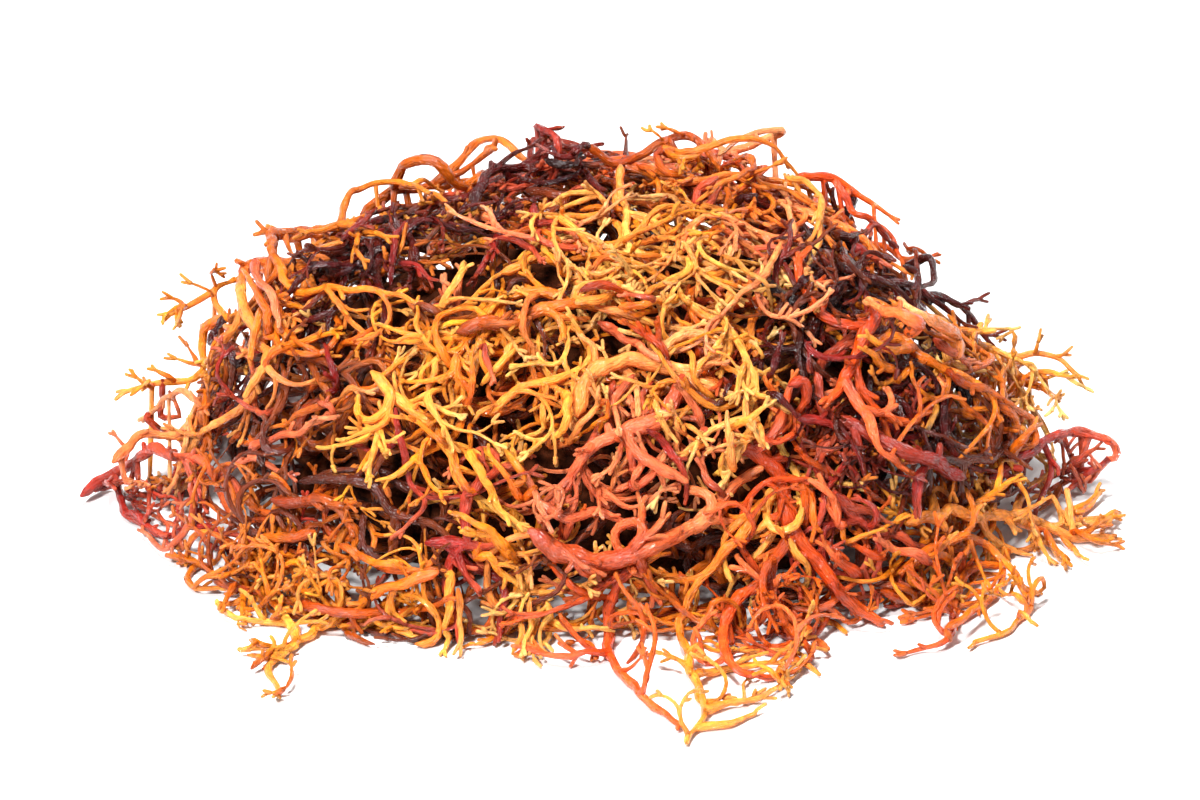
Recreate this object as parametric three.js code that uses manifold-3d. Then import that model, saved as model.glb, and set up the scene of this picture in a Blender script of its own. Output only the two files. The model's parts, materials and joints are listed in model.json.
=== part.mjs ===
// Irish moss seaweed: a loose heap of branching fronds lying on a flat surface. Millimetres, +Z up.
// The origin is on the surface, under the middle of the heap. -Y is the side that the heap is looked at from.
// Each frond is one solid of tapered strands. The fronds are laid one after another, each bent clear of those
// under it.
import * as THREE from "three";
import { mergeVertices } from "three/addons/utils/BufferGeometryUtils.js";
import Module from "manifold-3d";

// Driving sizes of the heap and its fronds
const HEAP = { halfWidth: 110, halfDepth: 84, height: 78 };
const BED_LEVEL = 0.85; // the share of the heap's size at which fronds are first laid
const CORE_LEVEL = 0.56; // the share of the heap's size that the packed middle fills
const FROND_GAP = 0.35; // the least space between two fronds
const GROUND_GAP = 0.1; // the least space between a frond and the surface under the heap
const STRAND_STEP = 8.5; // the length of one straight piece of a strand
const SAMPLE_STEP = 1.6; // how closely a strand is tested against those under it
const STEEPEST = 1.4; // how fast a strand may go away from the viewer along its length
const LAY_ROUNDS = 60; // how often a strand is lifted before what still crosses another is cut off
const LIFT_SHARE = 0.6; // the share of a crossing that one round lifts a strand by
const LEAST_LIFT = 0.1;
const TIP_SHARE = 0.5; // the radius at a strand's end, as a share of its start
const TIP_POWER = 1.5; // how late along a strand it thins
const ROOT_ROOM = 1.8; // how far from its root a side strand may touch its own frond, in radii
const MERGE = 1e-4; // corners nearer than this are one
const ROLL_STEP = 1.3; // how far each strand's section is turned from the one before: no two meet edge to edge
const BRANCH_SHARE = 0.78; // a side strand's radius, as a share of the main strand's
const THIN_RADIUS = 1.75; // strands thinner than this have three sides, and the others four

// The packed middle: a rough dome that arching strands spring out of and go back into
const CORE = { rings: 6, around: 18, skirt: 0.3, waves: 9, wave: [2, 9], roughness: 0.027 };
const GOLDEN_ANGLE = 2.39996;
const ARCH = {
  tries: 1500,
  radius: 2.0,
  sides: 3,
  pieces: 5,
  step: 0.14, // radians round the heap for each piece
  curl: [0.2, 0.5],
  top: [0.72, 0.84],
  rise: [0.06, 0.96],
  sunk: 0.06,
  lowest: 0.1,
  poleRoom: 0.25,
};

// The fronds on the back and sides wander: a new heading at each step, back to the middle at the heap's edge.
// A strand ends where it would stand out past the limiting share of the heap's size.
const WANDER = {
  step: 9,
  curl: 1.1,
  homing: 0.7,
  halfWidth: 94,
  halfHeight: 34,
  mainSteps: 12,
  sideSteps: 4,
  turn: [0.6, 1.2],
  limit: 1.02,
};

// Short twigs stand off the fronds at a slant, and fork their ends
const TWIG = {
  radii: [0.9, 0.4],
  length: [4.9, 8.1],
  slant: 0.95,
  spot: [0.35, 1.1],
  upright: [0, 0.2, 1],
  tries: 8,
};

// Where the heap is looked at from while a frond is laid on it
const LOOK = { distance: 900, elevation: 25, backElevation: 32, targetHeight: 20.6 };
const SIGHT_REACH = 160; // how far before and behind the middle a line of sight is followed
const SIGHT_STEP = 1;

const COLOURS = {
  pale: { colour: 0xf6cf7c, roughness: 0.42 },
  gold: { colour: 0xe8a23c, roughness: 0.4 },
  amber: { colour: 0xc9722a, roughness: 0.38 },
  orange: { colour: 0xd4581f, roughness: 0.36 },
  salmon: { colour: 0xdf7d55, roughness: 0.38 },
  rose: { colour: 0xb5403c, roughness: 0.36 },
  maroon: { colour: 0x571512, roughness: 0.32 },
  umber: { colour: 0x6e3015, roughness: 0.4 },
};

// The fronds that face the viewer, the deepest first: name, colour, radius, twigs and strands. A strand is a line
// of [across, up] points in the plane through the heap's middle that faces the viewer. A later strand of a frond
// grows from the earlier one that it starts on.
const FRONT = [
  ["dark_crest_left", "maroon", 1.8, 1, [
    [[-61, 32], [-54, 34], [-48, 34], [-44, 38], [-38, 39], [-33, 37]],
    [[-48, 34], [-47, 28], [-50, 22], [-47, 16]],
    [[-44, 38], [-40, 32], [-41, 26]],
  ]],
  ["dark_knot_right", "maroon", 2.1, 1, [
    [[81, -1], [77, 3], [77, 8], [73, 10.5], [69, 7]],
    [[77, 3], [72, 0], [69, -5], [64, -10], [60, -17]],
    [[69, -5], [73, -9], [71, -16]],
  ]],
  ["maroon_hollow", "maroon", 1.9, 1, [
    [[36, 26], [43, 22], [49, 19], [53, 25], [51, 31]],
    [[49, 19], [45, 13], [38, 10], [30, 5], [24, -2]],
    [[45, 13], [44, 4], [39, -4]],
  ]],
  ["umber_left_band", "umber", 1.6, 1, [
    [[-82, 12], [-76, 10], [-69, 8], [-62, 9], [-55, 5], [-50, -2]],
    [[-62, 9], [-60, 2], [-63, -6]],
    [[-55, 5], [-49, 8], [-44, 4]],
  ]],
  ["umber_low_left", "umber", 1.6, 1, [
    [[-66, -18], [-58, -17], [-50, -19], [-44, -25], [-38, -27], [-31, -34]],
    [[-50, -19], [-47, -12], [-41, -10]],
    [[-44, -25], [-45, -33], [-40, -39], [-33, -44]],
  ]],
  ["rose_low_right", "rose", 1.7, 1, [
    [[50, -20], [56, -25], [62, -28], [68, -31], [75, -35], [80, -39]],
    [[62, -28], [60, -35], [66, -40]],
    [[56, -25], [49, -29], [50, -36], [57, -40]],
  ]],
  ["umber_right_flank", "umber", 1.7, 1, [
    [[70, -13], [78, -14], [86, -12], [92, -7], [88, -1]],
    [[78, -14], [80, -21], [87, -22], [93, -19]],
    [[86, -12], [84, -5], [78, -3]],
  ]],
  ["umber_summit", "umber", 1.5, 1, [
    [[-16, 46], [-9, 44], [-3, 47], [4, 49], [11, 48], [18, 47]],
    [[-9, 44], [-10, 39], [-16, 37], [-22, 40]],
    [[4, 49], [8, 44], [14, 41]],
  ]],
  ["left_rose_loop", "rose", 1.7, 1, [
    [[-114, -21], [-109, -17], [-103, -13], [-96, -11.5], [-90, -13], [-85, -16.5], [-81.5, -20], [-81, -26]],
    [[-109, -17], [-108, -21.5], [-103, -26], [-97, -29.5], [-90, -28], [-83, -28.5], [-77, -31], [-71, -34]],
    [[-104, -14], [-103.5, -19], [-101, -24], [-96, -27]],
    [[-91, -13], [-89.5, -18], [-90, -24], [-92, -30], [-97, -33.5], [-101, -29]],
    [[-90, -13.5], [-88, -18], [-87, -23]],
    [[-90, -13], [-84, -12.5], [-78, -12], [-71, -10], [-66, -12], [-59, -13]],
    [[-78, -12], [-73, -16], [-68, -16]],
  ]],
  ["left_salmon_arch", "salmon", 1.6, 1, [
    [[-107, -13.5], [-103, -9], [-98, -7], [-92, -8], [-87, -4], [-88, 1.5], [-94, 1], [-100, -3]],
    [[-88, 1.5], [-82, -1], [-77, -5]],
  ]],
  ["left_gold_antler", "gold", 1.5, 1, [
    [[-78, 19], [-84, 18], [-88, 14], [-87.5, 9], [-88, 5], [-94, 4], [-100, 3.5], [-104, 1.5]],
    [[-88, 5], [-82, 4], [-78, 7]],
    [[-84, 18], [-81, 22], [-85, 25], [-83, 29], [-78, 26]],
    [[-85, 25], [-90, 21], [-95, 18.5]],
  ]],
  ["left_orange_stem", "orange", 2.0, 1, [
    [[-60, 31], [-67, 30], [-74, 31], [-79, 27], [-78.5, 21], [-76, 14], [-74.5, 6], [-78, 0], [-84, -5],
      [-91, -11.5]],
    [[-74, 31], [-72, 24], [-72, 16]],
    [[-75, 8], [-70, 11], [-69, 16], [-72, 20]],
    [[-67, 30], [-64, 26], [-59, 23], [-56, 20]],
  ]],
  ["crest_tan_loop", "amber", 1.5, 1, [
    [[-68, 35], [-63, 37], [-57, 39], [-51, 38], [-47, 35]],
    [[-57, 39], [-64, 41], [-65, 37]],
    [[-57, 39], [-55, 44], [-50, 48], [-44, 47.5], [-38, 46], [-34, 43], [-31, 38]],
    [[-44, 47.5], [-41, 50], [-36, 47]],
    [[-31, 38], [-28.5, 43], [-30, 48], [-27, 51], [-24, 48], [-23, 43]],
    [[-31, 38], [-31, 32], [-34, 27]],
    [[-31, 38], [-24, 35], [-21, 40], [-19, 46]],
    [[-31, 32], [-27, 26], [-22, 23]],
  ]],
  ["summit_dark_knot", "maroon", 1.7, 1, [
    [[-28, 42], [-25, 45], [-24.5, 50], [-18, 51], [-12, 51.5], [-11, 55.5], [-6, 56.5], [-2.5, 55]],
    [[-12, 51.5], [-6, 52], [0, 52.5]],
  ]],
  ["summit_amber_arc", "amber", 1.5, 1, [
    [[-3, 56], [1, 54], [7, 53], [12, 56], [17, 58.5], [22, 56], [26, 51], [28, 46], [27, 41], [24, 37]],
    [[17, 58.5], [18, 53]],
    [[12, 56], [14, 50], [20, 49]],
    [[28, 46], [34, 48], [42, 47.5], [48, 45.5], [52, 42]],
  ]],
  ["crest_right_arc", "orange", 1.5, 1, [
    [[43, 49], [46.5, 51], [51, 48], [57, 45], [64, 40.5]],
    [[51, 48], [54, 43], [60, 41], [64, 36], [66, 31], [70, 30.5], [73, 32.5]],
  ]],
  ["right_pale_spray", "salmon", 1.5, 2, [
    [[58, 22], [66, 19.5], [74, 17], [81, 13.5], [88, 10], [94, 11.5], [100, 9.5], [105, 5]],
    [[88, 10], [92, 5], [98, 5], [102, 6]],
    [[92, 5], [94, 0], [97, -3], [98.5, -7.5]],
    [[74, 17], [73, 11], [80, 9], [86, 6]],
    [[81, 13.5], [86, 14], [90, 15.5]],
  ]],
  ["right_amber_mass", "amber", 1.7, 2, [
    [[57, 12], [63, 12.5], [70, 12], [75, 7], [80, 5], [86, 1], [92, -2], [95, -8], [92, -13]],
    [[70, 12], [68, 6], [62, 4]],
    [[86, 1], [84, -5], [88, -9]],
  ]],
  ["dark_right_spray", "maroon", 1.5, 1, [
    [[52, 29.5], [58, 28], [64, 26.5], [70, 24], [76, 22], [82, 18], [86.5, 13.5]],
    [[70, 24], [66, 31], [61, 30.5], [59, 26]],
    [[70, 24], [72, 29], [68, 33]],
    [[76, 22], [79, 24], [83.5, 22]],
    [[70, 24], [69.5, 19.5], [68.5, 15]],
    [[70, 24], [75, 20], [80, 17]],
  ]],
  ["right_rose_loop", "rose", 1.7, 1, [
    [[86, -17], [91, -14], [96, -10.5], [102, -8], [108, -7], [112.5, -9.5], [114, -13], [109, -16],
      [102, -18.5]],
    [[112.5, -10], [107, -12.5], [101, -16], [96, -19]],
  ]],
  ["right_tan_fan", "amber", 2.0, 2, [
    [[68, -27], [76, -25.5], [84, -25.5], [92, -26], [99, -26.5], [106, -27], [112, -26]],
    [[99, -26.5], [105, -30], [112, -31]],
    [[92, -26], [97, -31], [102, -36]],
    [[84, -25.5], [88, -31], [94, -34]],
    [[92, -26], [96, -20], [98.5, -16]],
    [[106, -27], [108, -23], [110, -20.5]],
  ]],
  ["maroon_sling", "rose", 2.0, 1, [
    [[80, -17], [74, -14], [67, -11.5], [61, -8], [55, -5.5], [50, -3], [47.5, 2], [48.5, 8], [53, 12],
      [57, 17]],
    [[55, -5.5], [54, -11], [58, -16]],
  ]],
  ["orange_sling", "orange", 1.8, 1, [
    [[61, 21], [59, 15], [56, 9], [52.5, 4], [50, 0]],
    [[53, 4.5], [57, 0], [59.5, -6], [62, -12], [68.5, -16.5]],
  ]],
  ["low_left_amber_edge", "amber", 1.7, 1, [
    [[-63, -29], [-70, -30.5], [-76, -32.5], [-78.5, -38], [-79, -44], [-78, -48]],
    [[-79, -43], [-83, -45]],
  ]],
  ["low_left_spined_arc", "amber", 1.7, 3, [
    [[-72, -22], [-66, -21.5], [-60, -21.5], [-56, -25], [-54.5, -31], [-50, -35], [-43, -37.5], [-36, -38]],
  ]],
  ["low_left_gold_branch", "gold", 1.8, 2, [
    [[-36, -38], [-43, -41], [-50, -43.5], [-57, -46.5], [-64, -51.5], [-70, -54], [-77, -55]],
    [[-57, -46.5], [-58, -41], [-64, -37], [-69, -38]],
    [[-68, -53.3], [-69.5, -46], [-73, -43], [-74, -38]],
    [[-68, -53.3], [-69, -59], [-71, -65]],
  ]],
  ["front_orange_foot", "orange", 1.8, 1, [
    [[9, -33], [5, -38], [2, -45], [2.5, -53], [5.5, -61], [11, -66], [17, -71]],
    [[2.5, -51], [8, -54], [12, -60], [17, -65]],
    [[5, -38], [11, -39], [13, -34]],
  ]],
  ["front_gold_foot", "gold", 1.7, 2, [
    [[36, -22], [31, -28], [26, -34], [21, -41], [17.5, -49], [19, -57], [22, -64], [22, -71], [19, -75]],
    [[19, -57], [26, -59.5], [33, -58.5], [40, -58]],
    [[22, -66], [29, -67], [36, -67]],
    [[22, -71], [28, -71], [34, -69]],
  ]],
  ["front_orange_bundle", "orange", 2.2, 2, [
    [[28, -9], [34, -11], [39, -16], [41.5, -22], [42, -29], [44, -32], [49, -37], [55, -43], [62, -49]],
    [[42, -29], [38, -36], [38, -45], [41, -52], [45, -58]],
    [[38, -37], [32, -42], [28, -49], [27, -56], [33, -60], [40, -60]],
    [[38, -45], [44, -49], [50, -54]],
    [[39, -16], [43, -14.5], [45.5, -18], [43, -23], [47, -28]],
    [[34, -11], [39, -8], [40, -2], [43, 4]],
    [[49, -37], [55, -36], [61, -39]],
  ]],
  ["front_right_loop", "orange", 1.5, 1, [
    [[62, -42], [68, -43.5], [75, -45], [80, -42], [82, -37], [88, -36], [88, -41], [84, -46], [79, -49]],
    [[77.5, -44], [77, -50], [74, -55.5], [67, -55.5]],
  ]],
  ["front_right_gold_loop", "gold", 1.4, 2, [
    [[66, -38], [71, -35], [76, -31.5], [81, -30], [86, -33], [89, -38], [95, -41], [95, -46], [89, -50],
      [82, -53]],
    [[81, -30], [83, -36], [85, -40]],
  ]],
  ["ochre_fan", "gold", 1.7, 1, [
    [[-7, 22], [-14, 24], [-21, 22], [-26, 17], [-30, 11], [-33, 5], [-31, -2]],
    [[-26, 17], [-27, 9], [-29, 2]],
    [[-21, 22], [-22, 14], [-20, 8]],
    [[-30, 11], [-36, 8], [-38, 2]],
    [[-29, 13], [-36, 14], [-43, 13.5], [-48, 15.5]],
    [[-36, 14], [-42, 10.5], [-47.5, 6]],
  ]],
  ["amber_cross_stem", "amber", 1.7, 1, [
    [[-31, 15], [-24, 17], [-16, 18], [-8, 20], [0, 20], [8, 17], [13, 12]],
    [[0, 20], [5, 24], [12, 24], [18, 22]],
    [[-16, 18], [-17, 11], [-14, 5]],
  ]],
  ["gold_mesh", "pale", 1.15, 2, [
    [[-24, -3], [-19, 3], [-12, 4.5], [-5, 6], [-2, 10], [-4, 15.5], [-8, 14], [-8, 9], [-14, 9.5], [-18, 7]],
    [[-12, 4.5], [-11, -2], [-14, -8], [-20, -10]],
    [[-5, 6], [-6, -1], [-9, -6]],
  ]],
  ["gold_left_stem", "gold", 1.8, 2, [
    [[-50, 6], [-46, 1], [-40, -2], [-35, -7], [-32.5, -13], [-30, -19], [-26, -23], [-20, -26], [-15, -30]],
    [[-46, 1], [-47, -6], [-50, -12], [-51, -17]],
    [[-47, -6], [-55, -9.5]],
  ]],
  ["rose_drop", "rose", 1.3, 1, [
    [[-45, -2], [-43.5, -9], [-42, -16], [-38, -21], [-39, -26], [-43, -29]],
  ]],
  ["pale_tree", "pale", 1.4, 2, [
    [[4.5, 51.5], [5.5, 45], [5, 39], [7, 32], [6, 25]],
    [[5, 40.5], [10, 40.5], [14, 36], [13, 30], [7, 28]],
    [[7, 32], [1, 33], [-5, 36.5], [-8, 33]],
    [[13, 32], [20, 31], [27, 29], [33, 26]],
    [[20, 31], [18, 35], [18, 41], [15, 45], [9, 44]],
  ]],
  ["pale_left_comb", "pale", 1.1, 2, [
    [[-21.5, 28], [-16, 30.5], [-10, 30], [-5, 28], [1, 29], [5, 23], [12, 22]],
    [[-10, 30], [-9, 24], [-4, 23]],
  ]],
  ["pale_right_arc", "pale", 1.25, 1, [
    [[41, 49], [46, 47.5], [49, 43], [48.5, 37], [46, 31], [43, 25]],
    [[43, 25], [38, 28], [34, 33]],
  ]],
  ["salmon_crest", "salmon", 1.5, 2, [
    [[28, 40], [34, 38], [39, 34], [44, 38], [42, 43]],
    [[34, 38], [31, 33], [25, 34]],
    [[39, 34], [37, 28], [31, 24], [27, 19]],
  ]],
  ["salmon_curls", "salmon", 1.25, 1, [
    [[3, 4], [1, -3], [-2, -10], [-3, -15], [0, -19], [7, -18.5], [13, -15], [15, -10]],
    [[0, -19], [2, -23.5], [9, -24], [15, -20]],
    [[1, -3], [7, -2], [9, -9], [6, -14]],
    [[7, -2], [13, -4], [18, -9], [18.5, -16]],
  ]],
  ["orange_keel", "orange", 2.4, 2, [
    [[-15, -29], [-9, -33.5], [0, -35.5], [8, -34], [15, -31], [22, -26], [28, -21], [33, -17]],
    [[8, -34], [13, -38], [12, -43]],
  ]],
  ["pale_centre_feet", "pale", 1.4, 2, [
    [[-27, -29], [-21, -35], [-15, -41], [-16, -49], [-17, -56]],
    [[-15, -41], [-8, -42], [0, -39]],
    [[-15, -44], [-11, -49], [-13, -56]],
    [[-11, -47], [-5, -49], [0, -50]],
  ]],
  ["salmon_loop", "salmon", 2.0, 1, [
    [[-5, -3], [-3, 4], [2, 8.5], [9, 8], [16, 7.5], [23, 7.5], [26.5, 11], [23, 14.5], [17, 13], [13, 10]],
  ]],
  ["pale_antler", "pale", 1.5, 2, [
    [[20, 21], [26, 17.5], [31, 12.5], [33.5, 7], [35, 1], [33, -5], [31, -11], [27, -17.5]],
    [[33.5, 7], [40, 3.5]],
    [[33, -3], [26, -6], [20, -9.5]],
    [[29, -5], [25, -10], [21, -15.5]],
    [[34, -2], [36, -9.5]],
    [[34.5, 3], [27, 0]],
  ]],
  ["salmon_cord", "salmon", 1.8, 1, [
    [[18, 5], [16, -1], [11, -5], [4, -7], [-2, -10], [-5, -16], [-11, -21.5], [-12.5, -26]],
  ]],
  ["rose_bow", "rose", 1.9, 1, [
    [[-38, -31.5], [-31, -31], [-24, -31.5]],
    [[-31, -31], [-33, -39], [-32, -46], [-31, -54]],
    [[-29, -31], [-30, -25], [-28.5, -19.5], [-25, -16], [-19, -14.8], [-15.5, -18], [-14, -23],
      [-11, -29]],
    [[-14, -23], [-7, -26.5], [0, -24.5], [7, -27]],
    [[-7, -26.5], [-7.5, -31]],
  ]],
];

// The fronds on the sides and the back: name, colour, radius, twigs, the side looked at, where the main strand
// starts in that view, its heading in degrees, and how many side strands it has
const AROUND = [
  ["side_left_amber", "amber", 1.9, 2, 270, [-70, -22], 40, 5],
  ["side_right_orange", "orange", 1.9, 2, 90, [66, -20], 150, 5],
  ["back_left_rose", "rose", 1.9, 2, 235, [-74, -18], 20, 5],
  ["back_right_amber", "amber", 1.9, 2, 125, [72, -14], 165, 5],
  ["back_low_orange", "orange", 2.0, 2, 180, [-84, -24], 25, 5],
  ["back_middle_gold", "gold", 1.8, 2, 180, [74, -22], 155, 5],
  ["back_middle_maroon", "maroon", 1.8, 2, 200, [-20, 24], -60, 5],
  ["back_high_amber", "amber", 1.8, 2, 170, [58, 22], 160, 5],
  ["back_high_salmon", "salmon", 1.8, 2, 190, [-62, 16], 30, 5],
];

// Simple vector sums on [x, y, z]
const add = (a, b) => [a[0] + b[0], a[1] + b[1], a[2] + b[2]];
const sub = (a, b) => [a[0] - b[0], a[1] - b[1], a[2] - b[2]];
const scale = (a, s) => [a[0] * s, a[1] * s, a[2] * s];
const dot = (a, b) => a[0] * b[0] + a[1] * b[1] + a[2] * b[2];
const cross = (a, b) => [
  a[1] * b[2] - a[2] * b[1],
  a[2] * b[0] - a[0] * b[2],
  a[0] * b[1] - a[1] * b[0],
];
const length = (a) => Math.sqrt(dot(a, a));
const unit = (a) => scale(a, 1 / length(a));
const mix = (a, b, s) => add(scale(a, 1 - s), scale(b, s));
const between = ([low, high], share) => low + (high - low) * share;
const radians = (degrees) => (degrees * Math.PI) / 180;

// A seeded draw from 0 to 1
function seeded(seed) {
  let state = seed;
  return () => {
    state = (state * 1664525 + 1013904223) % 4294967296;
    return state / 4294967296;
  };
}

// The view from one side of the heap: where the eye is, and the plane through the target that faces it
function viewFrom(azimuth, elevation) {
  const a = radians(azimuth);
  const e = radians(elevation);
  const back = [Math.sin(a) * Math.cos(e), -Math.cos(a) * Math.cos(e), Math.sin(e)];
  const target = [0, 0, LOOK.targetHeight];
  const right = [Math.cos(a), Math.sin(a), 0];
  return { eye: add(target, scale(back, LOOK.distance)), target, right, up: cross(back, right) };
}

// How far out a point is, from 0 in the middle to 1 on a heap of these half sizes: broad, with a round top
function heapLevel([x, y, z], [halfWidth, halfDepth, height]) {
  return Math.abs(x / halfWidth) ** 3 + (y / halfDepth) ** 2 + (Math.max(z, 0) / height) ** 1.5;
}

const heapSize = (level, more) => [HEAP.halfWidth, HEAP.halfDepth, HEAP.height].map((s) => s * level + more);

// Where the line of sight through [across, up] meets the bed, passes nearest to it, or meets the ground
function onBed(view, across, up, radius) {
  const seen = add(view.target, add(scale(view.right, across), scale(view.up, up)));
  const sight = unit(sub(seen, view.eye));
  const size = heapSize(BED_LEVEL, radius);
  const ground = (radius + GROUND_GAP - view.eye[2]) / sight[2];
  const last = Math.min(LOOK.distance + SIGHT_REACH, ground);
  let before = Infinity;
  let best = { far: last, level: Infinity };
  for (let far = LOOK.distance - SIGHT_REACH; far < last; far += SIGHT_STEP) {
    const level = heapLevel(add(view.eye, scale(sight, far)), size);
    if (level < best.level) best = { far, level };
    if (level < 1) {
      best.far = far - (SIGHT_STEP * (1 - level)) / (before - level);
      break;
    }
    before = level;
  }
  return { sight, far: best.far };
}

// A Catmull-Rom curve through flat points, as about evenly spaced points
function flatCurve(points, step) {
  const through = points.map(([x, y]) => new THREE.Vector3(x, y, 0));
  const line = new THREE.CatmullRomCurve3(through, false, "centripetal");
  const pieces = Math.max(1, Math.round(line.getLength() / step));
  return line.getSpacedPoints(pieces).map((p) => [p.x, p.y]);
}

// The nearest point to p on the piece from a to b, as a distance
function pieceDistance(p, a, b) {
  const ab = sub(b, a);
  const share = Math.min(1, Math.max(0, dot(sub(p, a), ab) / Math.max(dot(ab, ab), 1e-9)));
  return length(sub(p, add(a, scale(ab, share))));
}

const placed = []; // every straight piece laid so far: { frond, a, b, ra, rb, low, high }

function remember(frond, points, radii) {
  for (let i = 0; i + 1 < points.length; i++) {
    const r = Math.max(radii[i], radii[i + 1]);
    placed.push({
      frond,
      a: points[i],
      b: points[i + 1],
      r,
      low: [0, 1, 2].map((k) => Math.min(points[i][k], points[i + 1][k]) - r),
      high: [0, 1, 2].map((k) => Math.max(points[i][k], points[i + 1][k]) + r),
    });
  }
}

// How far a strand's pieces reach into what is already laid, for each of its points. A side strand's first point
// is fixed, and near it the strand may touch its own frond.
function crowding(frond, points, radii, root) {
  const first = root ? 1 : 0;
  const joint = root ? ROOT_ROOM * (root.radius + radii[0]) : Infinity;
  const reach = Math.max(...radii) + FROND_GAP;
  const low = [0, 1, 2].map((k) => Math.min(...points.map((p) => p[k])) - reach);
  const high = [0, 1, 2].map((k) => Math.max(...points.map((p) => p[k])) + reach);
  const near = placed.filter(
    (s) => (root || s.frond !== frond) && [0, 1, 2].every((k) => s.low[k] < high[k] && s.high[k] > low[k]),
  );
  const need = points.map(() => 0);
  for (let i = 0; i + 1 < points.length; i++) {
    const span = length(sub(points[i + 1], points[i]));
    const samples = Math.max(1, Math.ceil(span / SAMPLE_STEP));
    for (let k = 0; k <= samples; k++) {
      const share = k / samples;
      const p = mix(points[i], points[i + 1], share);
      const r = radii[i] * (1 - share) + radii[i + 1] * share;
      const atRoot = root && length(sub(p, root.place)) < joint;
      for (const s of near) {
        if (atRoot && s.frond === frond) continue;
        const short = r + s.r + FROND_GAP - pieceDistance(p, s.a, s.b);
        if (short > 0) {
          if (i >= first && share < 0.75) need[i] = Math.max(need[i], short);
          if (i < first || share > 0.25) need[i + 1] = Math.max(need[i + 1], short);
        }
      }
    }
  }
  return need;
}

// Lays one strand: its points stay on their lines of sight, and rise towards the viewer until the strand is
// clear. What isn't clear in the end is cut off.
function layStrand(frond, view, flat, radii, root) {
  const beds = flat.map(([across, up], i) => onBed(view, across, up, radii[i]));
  const first = root ? 1 : 0;
  const far = beds.map((bed, i) => (i < first ? length(sub(root.place, view.eye)) : bed.far));
  const at = () => beds.map((bed, i) => (i < first ? root.place : add(view.eye, scale(bed.sight, far[i]))));
  const spans = flat.slice(1).map((p, i) => Math.hypot(p[0] - flat[i][0], p[1] - flat[i][1]));
  let need = [];
  for (let round = 0; round < LAY_ROUNDS; round++) {
    for (let i = 1; i < far.length; i++) {
      far[i] = Math.min(far[i], far[i - 1] + STEEPEST * spans[i - 1]);
    }
    for (let i = far.length - 2; i >= first; i--) {
      far[i] = Math.min(far[i], far[i + 1] + STEEPEST * spans[i]);
    }
    need = crowding(frond, at(), radii, root);
    if (!need.some((n) => n > 0)) return at();
    need.forEach((n, i) => {
      if (n > 0) far[i] -= LIFT_SHARE * n + LEAST_LIFT;
    });
  }
  return at().slice(0, need.findIndex((n) => n > 0));
}

// The place on a frond's strands nearest to a flat point, so that a side strand can grow from it
function rootOn(strands, flat) {
  let best = null;
  for (const s of strands)
    for (let i = 0; i + 1 < s.points.length; i++) {
      const [ax, ay] = s.flat[i];
      const [bx, by] = s.flat[i + 1];
      const span = Math.max((bx - ax) ** 2 + (by - ay) ** 2, 1e-9);
      const share = Math.min(1, Math.max(0, ((flat[0] - ax) * (bx - ax) + (flat[1] - ay) * (by - ay)) / span));
      const away = Math.hypot(flat[0] - ax - share * (bx - ax), flat[1] - ay - share * (by - ay));
      if (!best || away < best.away)
        best = {
          away,
          place: mix(s.points[i], s.points[i + 1], share),
          radius: s.radii[i] * (1 - share) + s.radii[i + 1] * share,
        };
    }
  return best;
}

function taper(count, radius) {
  const radiusAt = (share) => radius * (1 - (1 - TIP_SHARE) * share ** TIP_POWER);
  return Array.from({ length: count }, (_, i) => radiusAt(i / (count - 1)));
}

// Lays a whole frond and returns its strands. A strand ends where it would stand out past the limiting level.
function layFrond([name, colour, radius, twigs, lines], view, limit) {
  const strands = [];
  lines.forEach((line, index) => {
    const flat = flatCurve(line, STRAND_STEP);
    const radii = taper(flat.length, index ? radius * BRANCH_SHARE : radius);
    const root = index ? rootOn(strands, flat[0]) : null;
    const laid = layStrand(name, view, flat, radii, root);
    const off = laid.findIndex((p) => heapLevel(p, heapSize(limit, radius)) > 1);
    const points = off < 0 ? laid : laid.slice(0, off);
    if (points.length < 2) return;
    strands.push({ points, flat: flat.slice(0, points.length), radii: radii.slice(0, points.length) });
    remember(name, points, radii);
  });
  return { name, colour, twigs, strands };
}

// A line that wanders from a start: each step turns a little, and turns back at the edge of the heap
function wander(draw, start, heading, steps) {
  const line = [start];
  let [across, up] = start;
  for (let i = 0; i < steps; i++) {
    if (Math.hypot(across / WANDER.halfWidth, up / WANDER.halfHeight) > 1) {
      const home = Math.atan2(-up, -across);
      heading += WANDER.homing * Math.atan2(Math.sin(home - heading), Math.cos(home - heading));
    }
    heading += WANDER.curl * (draw() - 0.5);
    across += WANDER.step * Math.cos(heading);
    up += WANDER.step * Math.sin(heading);
    line.push([across, up]);
  }
  return line;
}

// The flat lines of a wandering frond: a main strand, and side strands that leave it and each other
function wanderingFrond([name, colour, radius, twigs, azimuth, start, heading, sides], index) {
  const draw = seeded(index + 1);
  const lines = [wander(draw, start, radians(heading), WANDER.mainSteps)];
  for (let k = 0; k < sides; k++) {
    const from = lines[Math.floor(draw() * Math.min(lines.length, 3))];
    const at = 1 + Math.floor(draw() * (from.length - 2));
    const along = Math.atan2(from[at + 1][1] - from[at][1], from[at + 1][0] - from[at][0]);
    const turn = (draw() < 0.5 ? -1 : 1) * between(WANDER.turn, draw());
    lines.push(wander(draw, from[at], along + turn, WANDER.sideSteps));
  }
  return layFrond([name, colour, radius, twigs, lines], viewFrom(azimuth, LOOK.backElevation), WANDER.limit);
}

// How far out the heap's surface is along a direction, when the heap is drawn with half sizes of 1
function surfaceAlong(direction) {
  let near = 0;
  let far = 2;
  for (let i = 0; i < 24; i++) {
    const middle = (near + far) / 2;
    if (heapLevel(scale(direction, middle), [1, 1, 1]) < 1) near = middle;
    else far = middle;
  }
  return near;
}

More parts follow.
